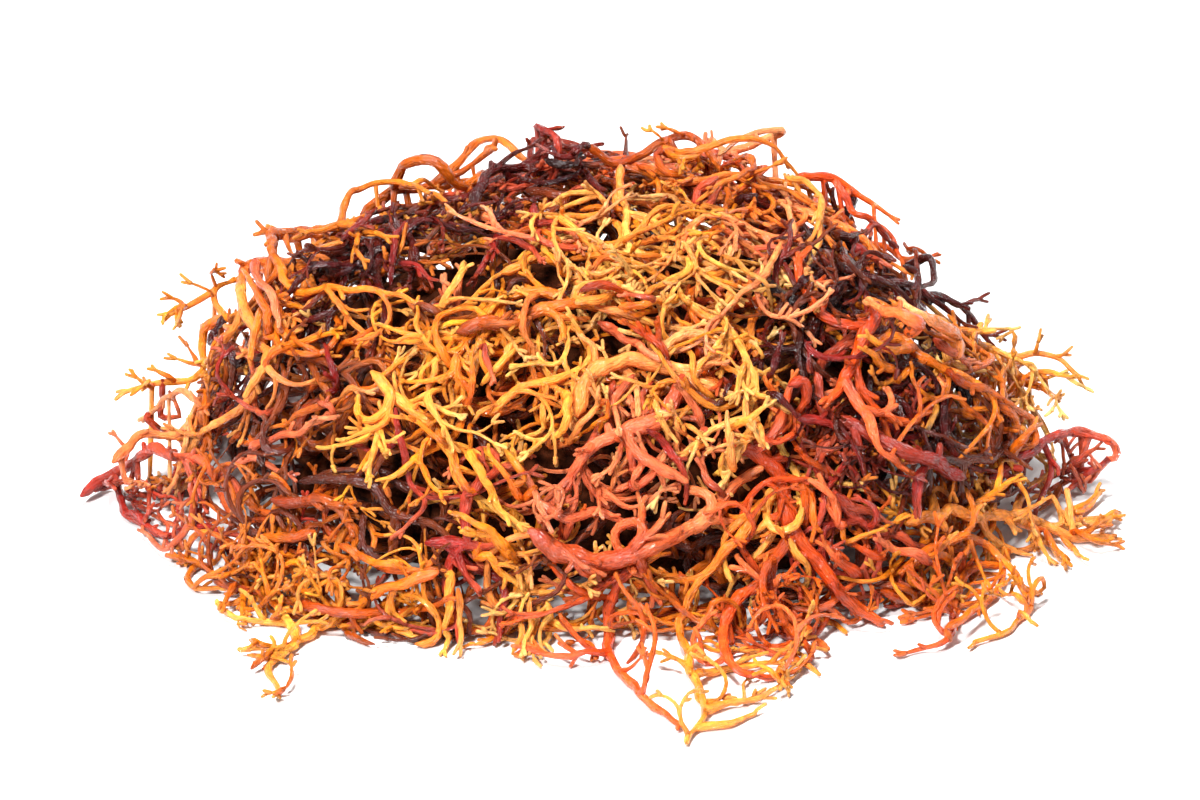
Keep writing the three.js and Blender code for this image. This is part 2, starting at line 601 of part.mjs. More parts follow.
// A point on the heap's surface at a level, by the angle round the heap and the angle up from the ground
function onHeap(round, rise, level) {
  const direction = [Math.cos(round) * Math.cos(rise), Math.sin(round) * Math.cos(rise), Math.sin(rise)];
  const out = surfaceAlong(direction);
  return heapSize(level, 0).map((size, k) => size * out * direction[k]);
}

// The arching strands of the packed middle: each springs out of it and goes back in, clear of the others
function archStrands() {
  const draw = seeded(5);
  const strands = [];
  const foot = CORE_LEVEL - ARCH.sunk;
  for (let k = 0; k < ARCH.tries; k++) {
    let round = k * GOLDEN_ANGLE;
    let rise = Math.asin(between(ARCH.rise, draw()));
    let heading = 2 * Math.PI * draw();
    const curl = (draw() < 0.5 ? -1 : 1) * between(ARCH.curl, draw());
    const top = between(ARCH.top, draw());
    const points = [];
    for (let i = 0; i <= ARCH.pieces; i++) {
      points.push(onHeap(round, rise, foot + (top - foot) * Math.sqrt(Math.sin((Math.PI * i) / ARCH.pieces))));
      heading += curl;
      round += (ARCH.step * Math.cos(heading)) / Math.max(Math.cos(rise), ARCH.poleRoom);
      rise = Math.max(rise + ARCH.step * Math.sin(heading), ARCH.lowest);
    }
    const radii = points.map(() => ARCH.radius);
    if (crowding("arch_" + k, points, radii, null).some((n) => n > 0)) continue;
    remember("arch_" + k, points, radii);
    strands.push({ points, radii });
  }
  return strands;
}

// One twig from a random place on a strand, at a slant to it
function twigOn(strand, draw) {
  const last = strand.points.length - 1;
  const spot = Math.min(last, between(TWIG.spot, draw()) * last);
  const i = Math.min(Math.floor(spot), last - 1);
  const place = mix(strand.points[i], strand.points[i + 1], spot - i);
  const along = unit(sub(strand.points[i + 1], strand.points[i]));
  const beside = unit(cross(along, TWIG.upright));
  const turn = 2 * Math.PI * draw();
  const away = add(scale(beside, Math.cos(turn)), scale(cross(beside, along), Math.sin(turn)));
  const slanted = add(scale(along, Math.cos(TWIG.slant)), scale(away, Math.sin(TWIG.slant)));
  return { points: [place, add(place, scale(slanted, between(TWIG.length, draw())))], radii: TWIG.radii };
}

// Adds twigs to a frond, each where it stays clear of every other strand and of the ground
function growTwigs(frond, index) {
  const draw = seeded(100 + index);
  const strands = [...frond.strands];
  for (let k = 0; k < frond.twigs; k++) {
    for (let attempt = 0; attempt < TWIG.tries; attempt++) {
      const { points, radii } = twigOn(frond.strands[k % frond.strands.length], draw);
      const root = { place: points[0], radius: radii[0] };
      if (points[1][2] < radii[0] + GROUND_GAP) continue;
      if (crowding(frond.name, points, radii, root).some((n) => n > 0)) continue;
      strands.push({ points, radii });
      remember(frond.name, points, radii);
      break;
    }
  }
  return { ...frond, strands };
}

const arches = archStrands();
const front = viewFrom(0, LOOK.elevation);
const bareFronds = [...FRONT.map((frond) => layFrond(frond, front, Infinity)), ...AROUND.map(wanderingFrond)];
const fronds = bareFronds.map(growTwigs);

// A closed tube along a line of points, tapered to its end: a cylinder bent along the line
function tube(points, radii, sides, roll) {
  const pieces = points.length - 1;
  const solid = bare(new THREE.CylinderGeometry(1, 1, 1, sides, pieces));
  const along = points.map((p, i) =>
    unit(sub(points[Math.min(i + 1, pieces)], points[Math.max(i - 1, 0)])),
  );
  let side = unit(cross(along[0], Math.abs(along[0][2]) < 0.9 ? [0, 0, 1] : [1, 0, 0]));
  const sideways = along.map((t) => (side = unit(sub(side, scale(t, dot(side, t))))));
  const position = solid.getAttribute("position");
  for (let v = 0; v < position.count; v++) {
    const ring = Math.round((0.5 + position.getY(v)) * pieces);
    const x = position.getX(v) * Math.cos(roll) - position.getZ(v) * Math.sin(roll);
    const z = position.getX(v) * Math.sin(roll) + position.getZ(v) * Math.cos(roll);
    const capCentre = Math.hypot(x, z) < 0.5;
    const tip = capCentre && ring === pieces ? radii[ring] : 0;
    const place = add(
      add(points[ring], scale(sideways[ring], x * radii[ring])),
      add(scale(cross(sideways[ring], along[ring]), z * radii[ring]), scale(along[ring], tip)),
    );
    position.setXYZ(v, ...place);
  }
  return solid;
}

const wasm = await Module();
wasm.setup();

function toSolid(geometry) {
  return new wasm.Manifold(
    new wasm.Mesh({
      numProp: 3,
      vertProperties: geometry.getAttribute("position").array,
      triVerts: new Uint32Array(geometry.index.array),
    }),
  );
}

function toGeometry(solid) {
  const mesh = solid.getMesh();
  const geometry = new THREE.BufferGeometry();
  geometry.setAttribute("position", new THREE.BufferAttribute(new Float32Array(mesh.vertProperties), 3));
  geometry.setIndex(new THREE.BufferAttribute(mesh.triVerts, 1));
  geometry.computeVertexNormals();
  return geometry;
}

// The plain geometry that a solid is made from: positions alone, with shared corners merged
function bare(geometry) {
  geometry.deleteAttribute("normal");
  geometry.deleteAttribute("uv");
  return mergeVertices(geometry, MERGE);
}

// The rough dome at the heart of the heap, cut flat where it rests
function coreSolid() {
  const draw = seeded(9);
  const waves = Array.from({ length: CORE.waves }, () => [
    between(CORE.wave, draw()),
    between(CORE.wave, draw()),
    2 * Math.PI * draw(),
  ]);
  const profile = [new THREE.Vector2(0, -CORE.skirt), new THREE.Vector2(1, -CORE.skirt)];
  for (let i = 0; i <= CORE.rings; i++) {
    const rise = (Math.PI / 2) * (i / CORE.rings);
    profile.push(new THREE.Vector2(Math.cos(rise), Math.sin(rise)));
  }
  const dome = bare(new THREE.LatheGeometry(profile, CORE.around).rotateX(Math.PI / 2));
  const position = dome.getAttribute("position");
  const size = heapSize(CORE_LEVEL, 0);
  for (let v = 0; v < position.count; v++) {
    const [x, y, z] = [position.getX(v), position.getY(v), position.getZ(v)];
    const wave = waves.reduce((sum, [across, deep, phase]) => sum + Math.sin(across * x + deep * y + phase), 0);
    const out = surfaceAlong([x, y, Math.max(z, 0)]) + CORE.roughness * wave;
    position.setXYZ(v, size[0] * out * x, size[1] * out * y, size[2] * out * z);
  }
  const below = new THREE.BoxGeometry(4 * HEAP.halfWidth, 4 * HEAP.halfDepth, HEAP.height);
  below.translate(0, 0, -HEAP.height / 2);
  return toSolid(dome).subtract(toSolid(bare(below)));
}

function named(name, colourName, solid) {
  const { colour, roughness } = COLOURS[colourName];
  const material = new THREE.MeshStandardMaterial({ color: colour, roughness, metalness: 0 });
  const mesh = new THREE.Mesh(toGeometry(solid), material);
  mesh.name = name;
  return mesh;
}

function innerTangle() {
  const solids = arches.map((arch) => toSolid(tube(arch.points, arch.radii, ARCH.sides, 0)));
  return named("inner_tangle", "umber", solids.reduce((a, b) => a.add(b), coreSolid()));
}

function frondMesh(frond) {
  const solids = frond.strands.map((strand, k) => {
    const sides = strand.radii[0] < THIN_RADIUS ? 3 : 4;
    return toSolid(tube(strand.points, strand.radii, sides, k * ROLL_STEP));
  });
  return named(frond.name, frond.colour, solids.reduce((a, b) => a.add(b)));
}

const heap = new THREE.Group();
heap.add(innerTangle(), ...fronds.map(frondMesh));

export default heap;
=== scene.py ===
# Irish moss seaweed: the finish of a loose heap of branching fronds. Everything is worked out in millimetres
# and made in metres. The fronds of the frame are laid again by the same rule as in its source, and drawn with
# fine round strands. More fronds fill the heap between and under them.
import json
import math

import bpy
import numpy as np
from mathutils import Matrix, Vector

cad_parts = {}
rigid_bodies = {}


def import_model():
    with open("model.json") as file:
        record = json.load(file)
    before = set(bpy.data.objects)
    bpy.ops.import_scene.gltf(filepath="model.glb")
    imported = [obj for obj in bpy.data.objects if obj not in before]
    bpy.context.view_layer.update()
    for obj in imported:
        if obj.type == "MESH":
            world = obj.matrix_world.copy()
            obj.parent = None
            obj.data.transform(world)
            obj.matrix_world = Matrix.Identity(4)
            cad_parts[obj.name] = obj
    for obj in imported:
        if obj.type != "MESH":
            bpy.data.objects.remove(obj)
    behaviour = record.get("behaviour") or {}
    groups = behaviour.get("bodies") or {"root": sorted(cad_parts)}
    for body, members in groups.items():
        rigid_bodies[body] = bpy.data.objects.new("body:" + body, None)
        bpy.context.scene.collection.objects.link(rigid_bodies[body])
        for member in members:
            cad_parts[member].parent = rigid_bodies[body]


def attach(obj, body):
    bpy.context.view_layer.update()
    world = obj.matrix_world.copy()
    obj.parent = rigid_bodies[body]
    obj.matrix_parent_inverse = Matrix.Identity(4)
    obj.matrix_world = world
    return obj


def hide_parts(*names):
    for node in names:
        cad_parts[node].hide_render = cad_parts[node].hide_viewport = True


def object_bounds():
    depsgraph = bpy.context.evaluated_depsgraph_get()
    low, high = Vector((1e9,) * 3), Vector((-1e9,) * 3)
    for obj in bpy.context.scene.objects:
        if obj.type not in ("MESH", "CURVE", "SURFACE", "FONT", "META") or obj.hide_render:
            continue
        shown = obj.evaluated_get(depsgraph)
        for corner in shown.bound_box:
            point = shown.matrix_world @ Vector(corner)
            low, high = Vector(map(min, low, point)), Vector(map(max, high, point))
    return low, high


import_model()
cad_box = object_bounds()

MM = 0.001

# The sizes that lay the fronds of the frame, in millimetres
HEAP = np.array([110.0, 84.0, 78.0])  # half width, half depth and height
BED_LEVEL = 0.85
CORE_LEVEL = 0.56
FROND_GAP = 0.35
GROUND_GAP = 0.1
STRAND_STEP = 8.5
SAMPLE_STEP = 1.6
STEEPEST = 1.4
LAY_ROUNDS = 60
LIFT_SHARE = 0.6
LEAST_LIFT = 0.1
TIP_SHARE = 0.5
TIP_POWER = 1.5
ROOT_ROOM = 1.8
BRANCH_SHARE = 0.78
LOOK_DISTANCE = 900.0
LOOK_ELEVATION = 25
BACK_ELEVATION = 32
TARGET = np.array([0.0, 0.0, 20.6])
SIGHT_REACH = 160
SIGHT_STEP = 1
CURVE_DIVISIONS = 200
NEAR_END = 0.25
HALVINGS = 24
ARCH_SEED = 5
TWIG_SEED = 100
GOLDEN_ANGLE = 2.39996
ARCH = dict(tries=1500, radius=2.0, pieces=5, step=0.14, curl=(0.2, 0.5), top=(0.72, 0.84), rise=(0.06, 0.96),
            sunk=0.06, lowest=0.1, pole_room=0.25)
WANDER = dict(step=9, curl=1.1, homing=0.7, half_width=94, half_height=34, main_steps=12, side_steps=4,
              turn=(0.6, 1.2), limit=1.02)
TWIG = dict(radii=(0.9, 0.4), length=(4.9, 8.1), slant=0.95, spot=(0.35, 1.1), upright=(0, 0.2, 1), tries=8)

# The fronds that face the viewer, the deepest first: name, colour, radius, twigs and strands. A strand is a
# line of (across, up) points in the plane through the heap's middle that faces the viewer.
FRONT = [
  ["dark_crest_left", "maroon", 1.8, 1, [
    [[-61, 32], [-54, 34], [-48, 34], [-44, 38], [-38, 39], [-33, 37]],
    [[-48, 34], [-47, 28], [-50, 22], [-47, 16]],
    [[-44, 38], [-40, 32], [-41, 26]],
  ]],
  ["dark_knot_right", "maroon", 2.1, 1, [
    [[81, -1], [77, 3], [77, 8], [73, 10.5], [69, 7]],
    [[77, 3], [72, 0], [69, -5], [64, -10], [60, -17]],
    [[69, -5], [73, -9], [71, -16]],
  ]],
  ["maroon_hollow", "maroon", 1.9, 1, [
    [[36, 26], [43, 22], [49, 19], [53, 25], [51, 31]],
    [[49, 19], [45, 13], [38, 10], [30, 5], [24, -2]],
    [[45, 13], [44, 4], [39, -4]],
  ]],
  ["umber_left_band", "umber", 1.6, 1, [
    [[-82, 12], [-76, 10], [-69, 8], [-62, 9], [-55, 5], [-50, -2]],
    [[-62, 9], [-60, 2], [-63, -6]],
    [[-55, 5], [-49, 8], [-44, 4]],
  ]],
  ["umber_low_left", "umber", 1.6, 1, [
    [[-66, -18], [-58, -17], [-50, -19], [-44, -25], [-38, -27], [-31, -34]],
    [[-50, -19], [-47, -12], [-41, -10]],
    [[-44, -25], [-45, -33], [-40, -39], [-33, -44]],
  ]],
  ["rose_low_right", "rose", 1.7, 1, [
    [[50, -20], [56, -25], [62, -28], [68, -31], [75, -35], [80, -39]],
    [[62, -28], [60, -35], [66, -40]],
    [[56, -25], [49, -29], [50, -36], [57, -40]],
  ]],
  ["umber_right_flank", "umber", 1.7, 1, [
    [[70, -13], [78, -14], [86, -12], [92, -7], [88, -1]],
    [[78, -14], [80, -21], [87, -22], [93, -19]],
    [[86, -12], [84, -5], [78, -3]],
  ]],
  ["umber_summit", "umber", 1.5, 1, [
    [[-16, 46], [-9, 44], [-3, 47], [4, 49], [11, 48], [18, 47]],
    [[-9, 44], [-10, 39], [-16, 37], [-22, 40]],
    [[4, 49], [8, 44], [14, 41]],
  ]],
  ["left_rose_loop", "rose", 1.7, 1, [
    [[-114, -21], [-109, -17], [-103, -13], [-96, -11.5], [-90, -13], [-85, -16.5], [-81.5, -20], [-81, -26]],
    [[-109, -17], [-108, -21.5], [-103, -26], [-97, -29.5], [-90, -28], [-83, -28.5], [-77, -31], [-71, -34]],
    [[-104, -14], [-103.5, -19], [-101, -24], [-96, -27]],
    [[-91, -13], [-89.5, -18], [-90, -24], [-92, -30], [-97, -33.5], [-101, -29]],
    [[-90, -13.5], [-88, -18], [-87, -23]],
    [[-90, -13], [-84, -12.5], [-78, -12], [-71, -10], [-66, -12], [-59, -13]],
    [[-78, -12], [-73, -16], [-68, -16]],
  ]],
  ["left_salmon_arch", "salmon", 1.6, 1, [
    [[-107, -13.5], [-103, -9], [-98, -7], [-92, -8], [-87, -4], [-88, 1.5], [-94, 1], [-100, -3]],
    [[-88, 1.5], [-82, -1], [-77, -5]],
  ]],
  ["left_gold_antler", "gold", 1.5, 1, [
    [[-78, 19], [-84, 18], [-88, 14], [-87.5, 9], [-88, 5], [-94, 4], [-100, 3.5], [-104, 1.5]],
    [[-88, 5], [-82, 4], [-78, 7]],
    [[-84, 18], [-81, 22], [-85, 25], [-83, 29], [-78, 26]],
    [[-85, 25], [-90, 21], [-95, 18.5]],
  ]],
  ["left_orange_stem", "orange", 2.0, 1, [
    [[-60, 31], [-67, 30], [-74, 31], [-79, 27], [-78.5, 21], [-76, 14], [-74.5, 6], [-78, 0], [-84, -5],
      [-91, -11.5]],
    [[-74, 31], [-72, 24], [-72, 16]],
    [[-75, 8], [-70, 11], [-69, 16], [-72, 20]],
    [[-67, 30], [-64, 26], [-59, 23], [-56, 20]],
  ]],
  ["crest_tan_loop", "amber", 1.5, 1, [
    [[-68, 35], [-63, 37], [-57, 39], [-51, 38], [-47, 35]],
    [[-57, 39], [-64, 41], [-65, 37]],
    [[-57, 39], [-55, 44], [-50, 48], [-44, 47.5], [-38, 46], [-34, 43], [-31, 38]],
    [[-44, 47.5], [-41, 50], [-36, 47]],
    [[-31, 38], [-28.5, 43], [-30, 48], [-27, 51], [-24, 48], [-23, 43]],
    [[-31, 38], [-31, 32], [-34, 27]],
    [[-31, 38], [-24, 35], [-21, 40], [-19, 46]],
    [[-31, 32], [-27, 26], [-22, 23]],
  ]],
  ["summit_dark_knot", "maroon", 1.7, 1, [
    [[-28, 42], [-25, 45], [-24.5, 50], [-18, 51], [-12, 51.5], [-11, 55.5], [-6, 56.5], [-2.5, 55]],
    [[-12, 51.5], [-6, 52], [0, 52.5]],
  ]],
  ["summit_amber_arc", "amber", 1.5, 1, [
    [[-3, 56], [1, 54], [7, 53], [12, 56], [17, 58.5], [22, 56], [26, 51], [28, 46], [27, 41], [24, 37]],
    [[17, 58.5], [18, 53]],
    [[12, 56], [14, 50], [20, 49]],
    [[28, 46], [34, 48], [42, 47.5], [48, 45.5], [52, 42]],
  ]],
  ["crest_right_arc", "orange", 1.5, 1, [
    [[43, 49], [46.5, 51], [51, 48], [57, 45], [64, 40.5]],
    [[51, 48], [54, 43], [60, 41], [64, 36], [66, 31], [70, 30.5], [73, 32.5]],
  ]],
  ["right_pale_spray", "salmon", 1.5, 2, [
    [[58, 22], [66, 19.5], [74, 17], [81, 13.5], [88, 10], [94, 11.5], [100, 9.5], [105, 5]],
    [[88, 10], [92, 5], [98, 5], [102, 6]],
    [[92, 5], [94, 0], [97, -3], [98.5, -7.5]],
    [[74, 17], [73, 11], [80, 9], [86, 6]],
    [[81, 13.5], [86, 14], [90, 15.5]],
  ]],
  ["right_amber_mass", "amber", 1.7, 2, [
    [[57, 12], [63, 12.5], [70, 12], [75, 7], [80, 5], [86, 1], [92, -2], [95, -8], [92, -13]],
    [[70, 12], [68, 6], [62, 4]],
    [[86, 1], [84, -5], [88, -9]],
  ]],
  ["dark_right_spray", "maroon", 1.5, 1, [
    [[52, 29.5], [58, 28], [64, 26.5], [70, 24], [76, 22], [82, 18], [86.5, 13.5]],
    [[70, 24], [66, 31], [61, 30.5], [59, 26]],
    [[70, 24], [72, 29], [68, 33]],
    [[76, 22], [79, 24], [83.5, 22]],
    [[70, 24], [69.5, 19.5], [68.5, 15]],
    [[70, 24], [75, 20], [80, 17]],
  ]],
  ["right_rose_loop", "rose", 1.7, 1, [
    [[86, -17], [91, -14], [96, -10.5], [102, -8], [108, -7], [112.5, -9.5], [114, -13], [109, -16],
      [102, -18.5]],
    [[112.5, -10], [107, -12.5], [101, -16], [96, -19]],
  ]],
  ["right_tan_fan", "amber", 2.0, 2, [
    [[68, -27], [76, -25.5], [84, -25.5], [92, -26], [99, -26.5], [106, -27], [112, -26]],
    [[99, -26.5], [105, -30], [112, -31]],
    [[92, -26], [97, -31], [102, -36]],
    [[84, -25.5], [88, -31], [94, -34]],
    [[92, -26], [96, -20], [98.5, -16]],
    [[106, -27], [108, -23], [110, -20.5]],
  ]],
  ["maroon_sling", "rose", 2.0, 1, [
    [[80, -17], [74, -14], [67, -11.5], [61, -8], [55, -5.5], [50, -3], [47.5, 2], [48.5, 8], [53, 12],
      [57, 17]],
    [[55, -5.5], [54, -11], [58, -16]],
  ]],
  ["orange_sling", "orange", 1.8, 1, [
    [[61, 21], [59, 15], [56, 9], [52.5, 4], [50, 0]],
    [[53, 4.5], [57, 0], [59.5, -6], [62, -12], [68.5, -16.5]],
  ]],
  ["low_left_amber_edge", "amber", 1.7, 1, [
    [[-63, -29], [-70, -30.5], [-76, -32.5], [-78.5, -38], [-79, -44], [-78, -48]],
    [[-79, -43], [-83, -45]],
  ]],
  ["low_left_spined_arc", "amber", 1.7, 3, [
    [[-72, -22], [-66, -21.5], [-60, -21.5], [-56, -25], [-54.5, -31], [-50, -35], [-43, -37.5], [-36, -38]],
  ]],
  ["low_left_gold_branch", "gold", 1.8, 2, [
    [[-36, -38], [-43, -41], [-50, -43.5], [-57, -46.5], [-64, -51.5], [-70, -54], [-77, -55]],
    [[-57, -46.5], [-58, -41], [-64, -37], [-69, -38]],
    [[-68, -53.3], [-69.5, -46], [-73, -43], [-74, -38]],
    [[-68, -53.3], [-69, -59], [-71, -65]],
  ]],
  ["front_orange_foot", "orange", 1.8, 1, [
    [[9, -33], [5, -38], [2, -45], [2.5, -53], [5.5, -61], [11, -66], [17, -71]],
    [[2.5, -51], [8, -54], [12, -60], [17, -65]],
    [[5, -38], [11, -39], [13, -34]],
  ]],
  ["front_gold_foot", "gold", 1.7, 2, [
    [[36, -22], [31, -28], [26, -34], [21, -41], [17.5, -49], [19, -57], [22, -64], [22, -71], [19, -75]],
    [[19, -57], [26, -59.5], [33, -58.5], [40, -58]],
    [[22, -66], [29, -67], [36, -67]],
    [[22, -71], [28, -71], [34, -69]],
  ]],
  ["front_orange_bundle", "orange", 2.2, 2, [
    [[28, -9], [34, -11], [39, -16], [41.5, -22], [42, -29], [44, -32], [49, -37], [55, -43], [62, -49]],
    [[42, -29], [38, -36], [38, -45], [41, -52], [45, -58]],
    [[38, -37], [32, -42], [28, -49], [27, -56], [33, -60], [40, -60]],
    [[38, -45], [44, -49], [50, -54]],
    [[39, -16], [43, -14.5], [45.5, -18], [43, -23], [47, -28]],
    [[34, -11], [39, -8], [40, -2], [43, 4]],
    [[49, -37], [55, -36], [61, -39]],
  ]],
  ["front_right_loop", "orange", 1.5, 1, [
    [[62, -42], [68, -43.5], [75, -45], [80, -42], [82, -37], [88, -36], [88, -41], [84, -46], [79, -49]],
    [[77.5, -44], [77, -50], [74, -55.5], [67, -55.5]],
  ]],
  ["front_right_gold_loop", "gold", 1.4, 2, [
    [[66, -38], [71, -35], [76, -31.5], [81, -30], [86, -33], [89, -38], [95, -41], [95, -46], [89, -50],
      [82, -53]],
    [[81, -30], [83, -36], [85, -40]],
  ]],
  ["ochre_fan", "gold", 1.7, 1, [
    [[-7, 22], [-14, 24], [-21, 22], [-26, 17], [-30, 11], [-33, 5], [-31, -2]],
    [[-26, 17], [-27, 9], [-29, 2]],
    [[-21, 22], [-22, 14], [-20, 8]],
    [[-30, 11], [-36, 8], [-38, 2]],
    [[-29, 13], [-36, 14], [-43, 13.5], [-48, 15.5]],
    [[-36, 14], [-42, 10.5], [-47.5, 6]],
  ]],
  ["amber_cross_stem", "amber", 1.7, 1, [
    [[-31, 15], [-24, 17], [-16, 18], [-8, 20], [0, 20], [8, 17], [13, 12]],
    [[0, 20], [5, 24], [12, 24], [18, 22]],
    [[-16, 18], [-17, 11], [-14, 5]],
  ]],
  ["gold_mesh", "pale", 1.15, 2, [
    [[-24, -3], [-19, 3], [-12, 4.5], [-5, 6], [-2, 10], [-4, 15.5], [-8, 14], [-8, 9], [-14, 9.5], [-18, 7]],
    [[-12, 4.5], [-11, -2], [-14, -8], [-20, -10]],
    [[-5, 6], [-6, -1], [-9, -6]],
  ]],
  ["gold_left_stem", "gold", 1.8, 2, [
    [[-50, 6], [-46, 1], [-40, -2], [-35, -7], [-32.5, -13], [-30, -19], [-26, -23], [-20, -26], [-15, -30]],
    [[-46, 1], [-47, -6], [-50, -12], [-51, -17]],
    [[-47, -6], [-55, -9.5]],
  ]],
  ["rose_drop", "rose", 1.3, 1, [
    [[-45, -2], [-43.5, -9], [-42, -16], [-38, -21], [-39, -26], [-43, -29]],
  ]],
  ["pale_tree", "pale", 1.4, 2, [
    [[4.5, 51.5], [5.5, 45], [5, 39], [7, 32], [6, 25]],
    [[5, 40.5], [10, 40.5], [14, 36], [13, 30], [7, 28]],
    [[7, 32], [1, 33], [-5, 36.5], [-8, 33]],
    [[13, 32], [20, 31], [27, 29], [33, 26]],
    [[20, 31], [18, 35], [18, 41], [15, 45], [9, 44]],
  ]],
  ["pale_left_comb", "pale", 1.1, 2, [
    [[-21.5, 28], [-16, 30.5], [-10, 30], [-5, 28], [1, 29], [5, 23], [12, 22]],
    [[-10, 30], [-9, 24], [-4, 23]],
  ]],
  ["pale_right_arc", "pale", 1.25, 1, [
    [[41, 49], [46, 47.5], [49, 43], [48.5, 37], [46, 31], [43, 25]],
    [[43, 25], [38, 28], [34, 33]],
  ]],
  ["salmon_crest", "salmon", 1.5, 2, [
    [[28, 40], [34, 38], [39, 34], [44, 38], [42, 43]],
    [[34, 38], [31, 33], [25, 34]],
    [[39, 34], [37, 28], [31, 24], [27, 19]],
  ]],
  ["salmon_curls", "salmon", 1.25, 1, [
    [[3, 4], [1, -3], [-2, -10], [-3, -15], [0, -19], [7, -18.5], [13, -15], [15, -10]],
    [[0, -19], [2, -23.5], [9, -24], [15, -20]],
    [[1, -3], [7, -2], [9, -9], [6, -14]],
    [[7, -2], [13, -4], [18, -9], [18.5, -16]],
  ]],
  ["orange_keel", "orange", 2.4, 2, [
    [[-15, -29], [-9, -33.5], [0, -35.5], [8, -34], [15, -31], [22, -26], [28, -21], [33, -17]],
    [[8, -34], [13, -38], [12, -43]],
  ]],
  ["pale_centre_feet", "pale", 1.4, 2, [
    [[-27, -29], [-21, -35], [-15, -41], [-16, -49], [-17, -56]],
    [[-15, -41], [-8, -42], [0, -39]],
    [[-15, -44], [-11, -49], [-13, -56]],
    [[-11, -47], [-5, -49], [0, -50]],
  ]],
  ["salmon_loop", "salmon", 2.0, 1, [
    [[-5, -3], [-3, 4], [2, 8.5], [9, 8], [16, 7.5], [23, 7.5], [26.5, 11], [23, 14.5], [17, 13], [13, 10]],
  ]],
  ["pale_antler", "pale", 1.5, 2, [
    [[20, 21], [26, 17.5], [31, 12.5], [33.5, 7], [35, 1], [33, -5], [31, -11], [27, -17.5]],
    [[33.5, 7], [40, 3.5]],
    [[33, -3], [26, -6], [20, -9.5]],
    [[29, -5], [25, -10], [21, -15.5]],
    [[34, -2], [36, -9.5]],
    [[34.5, 3], [27, 0]],
  ]],
  ["salmon_cord", "salmon", 1.8, 1, [
    [[18, 5], [16, -1], [11, -5], [4, -7], [-2, -10], [-5, -16], [-11, -21.5], [-12.5, -26]],
  ]],
  ["rose_bow", "rose", 1.9, 1, [
    [[-38, -31.5], [-31, -31], [-24, -31.5]],
    [[-31, -31], [-33, -39], [-32, -46], [-31, -54]],
    [[-29, -31], [-30, -25], [-28.5, -19.5], [-25, -16], [-19, -14.8], [-15.5, -18], [-14, -23],
      [-11, -29]],
    [[-14, -23], [-7, -26.5], [0, -24.5], [7, -27]],
    [[-7, -26.5], [-7.5, -31]],
  ]],
]

# The fronds on the sides and the back: name, colour, radius, twigs, the side looked at, where the main strand
# starts in that view, its heading in degrees, and how many side strands it has
AROUND = [
  ["side_left_amber", "amber", 1.9, 2, 270, [-70, -22], 40, 5],
  ["side_right_orange", "orange", 1.9, 2, 90, [66, -20], 150, 5],
  ["back_left_rose", "rose", 1.9, 2, 235, [-74, -18], 20, 5],
  ["back_right_amber", "amber", 1.9, 2, 125, [72, -14], 165, 5],
  ["back_low_orange", "orange", 2.0, 2, 180, [-84, -24], 25, 5],
  ["back_middle_gold", "gold", 1.8, 2, 180, [74, -22], 155, 5],
  ["back_middle_maroon", "maroon", 1.8, 2, 200, [-20, 24], -60, 5],
  ["back_high_amber", "amber", 1.8, 2, 170, [58, 22], 160, 5],
  ["back_high_salmon", "salmon", 1.8, 2, 190, [-62, 16], 30, 5],
]

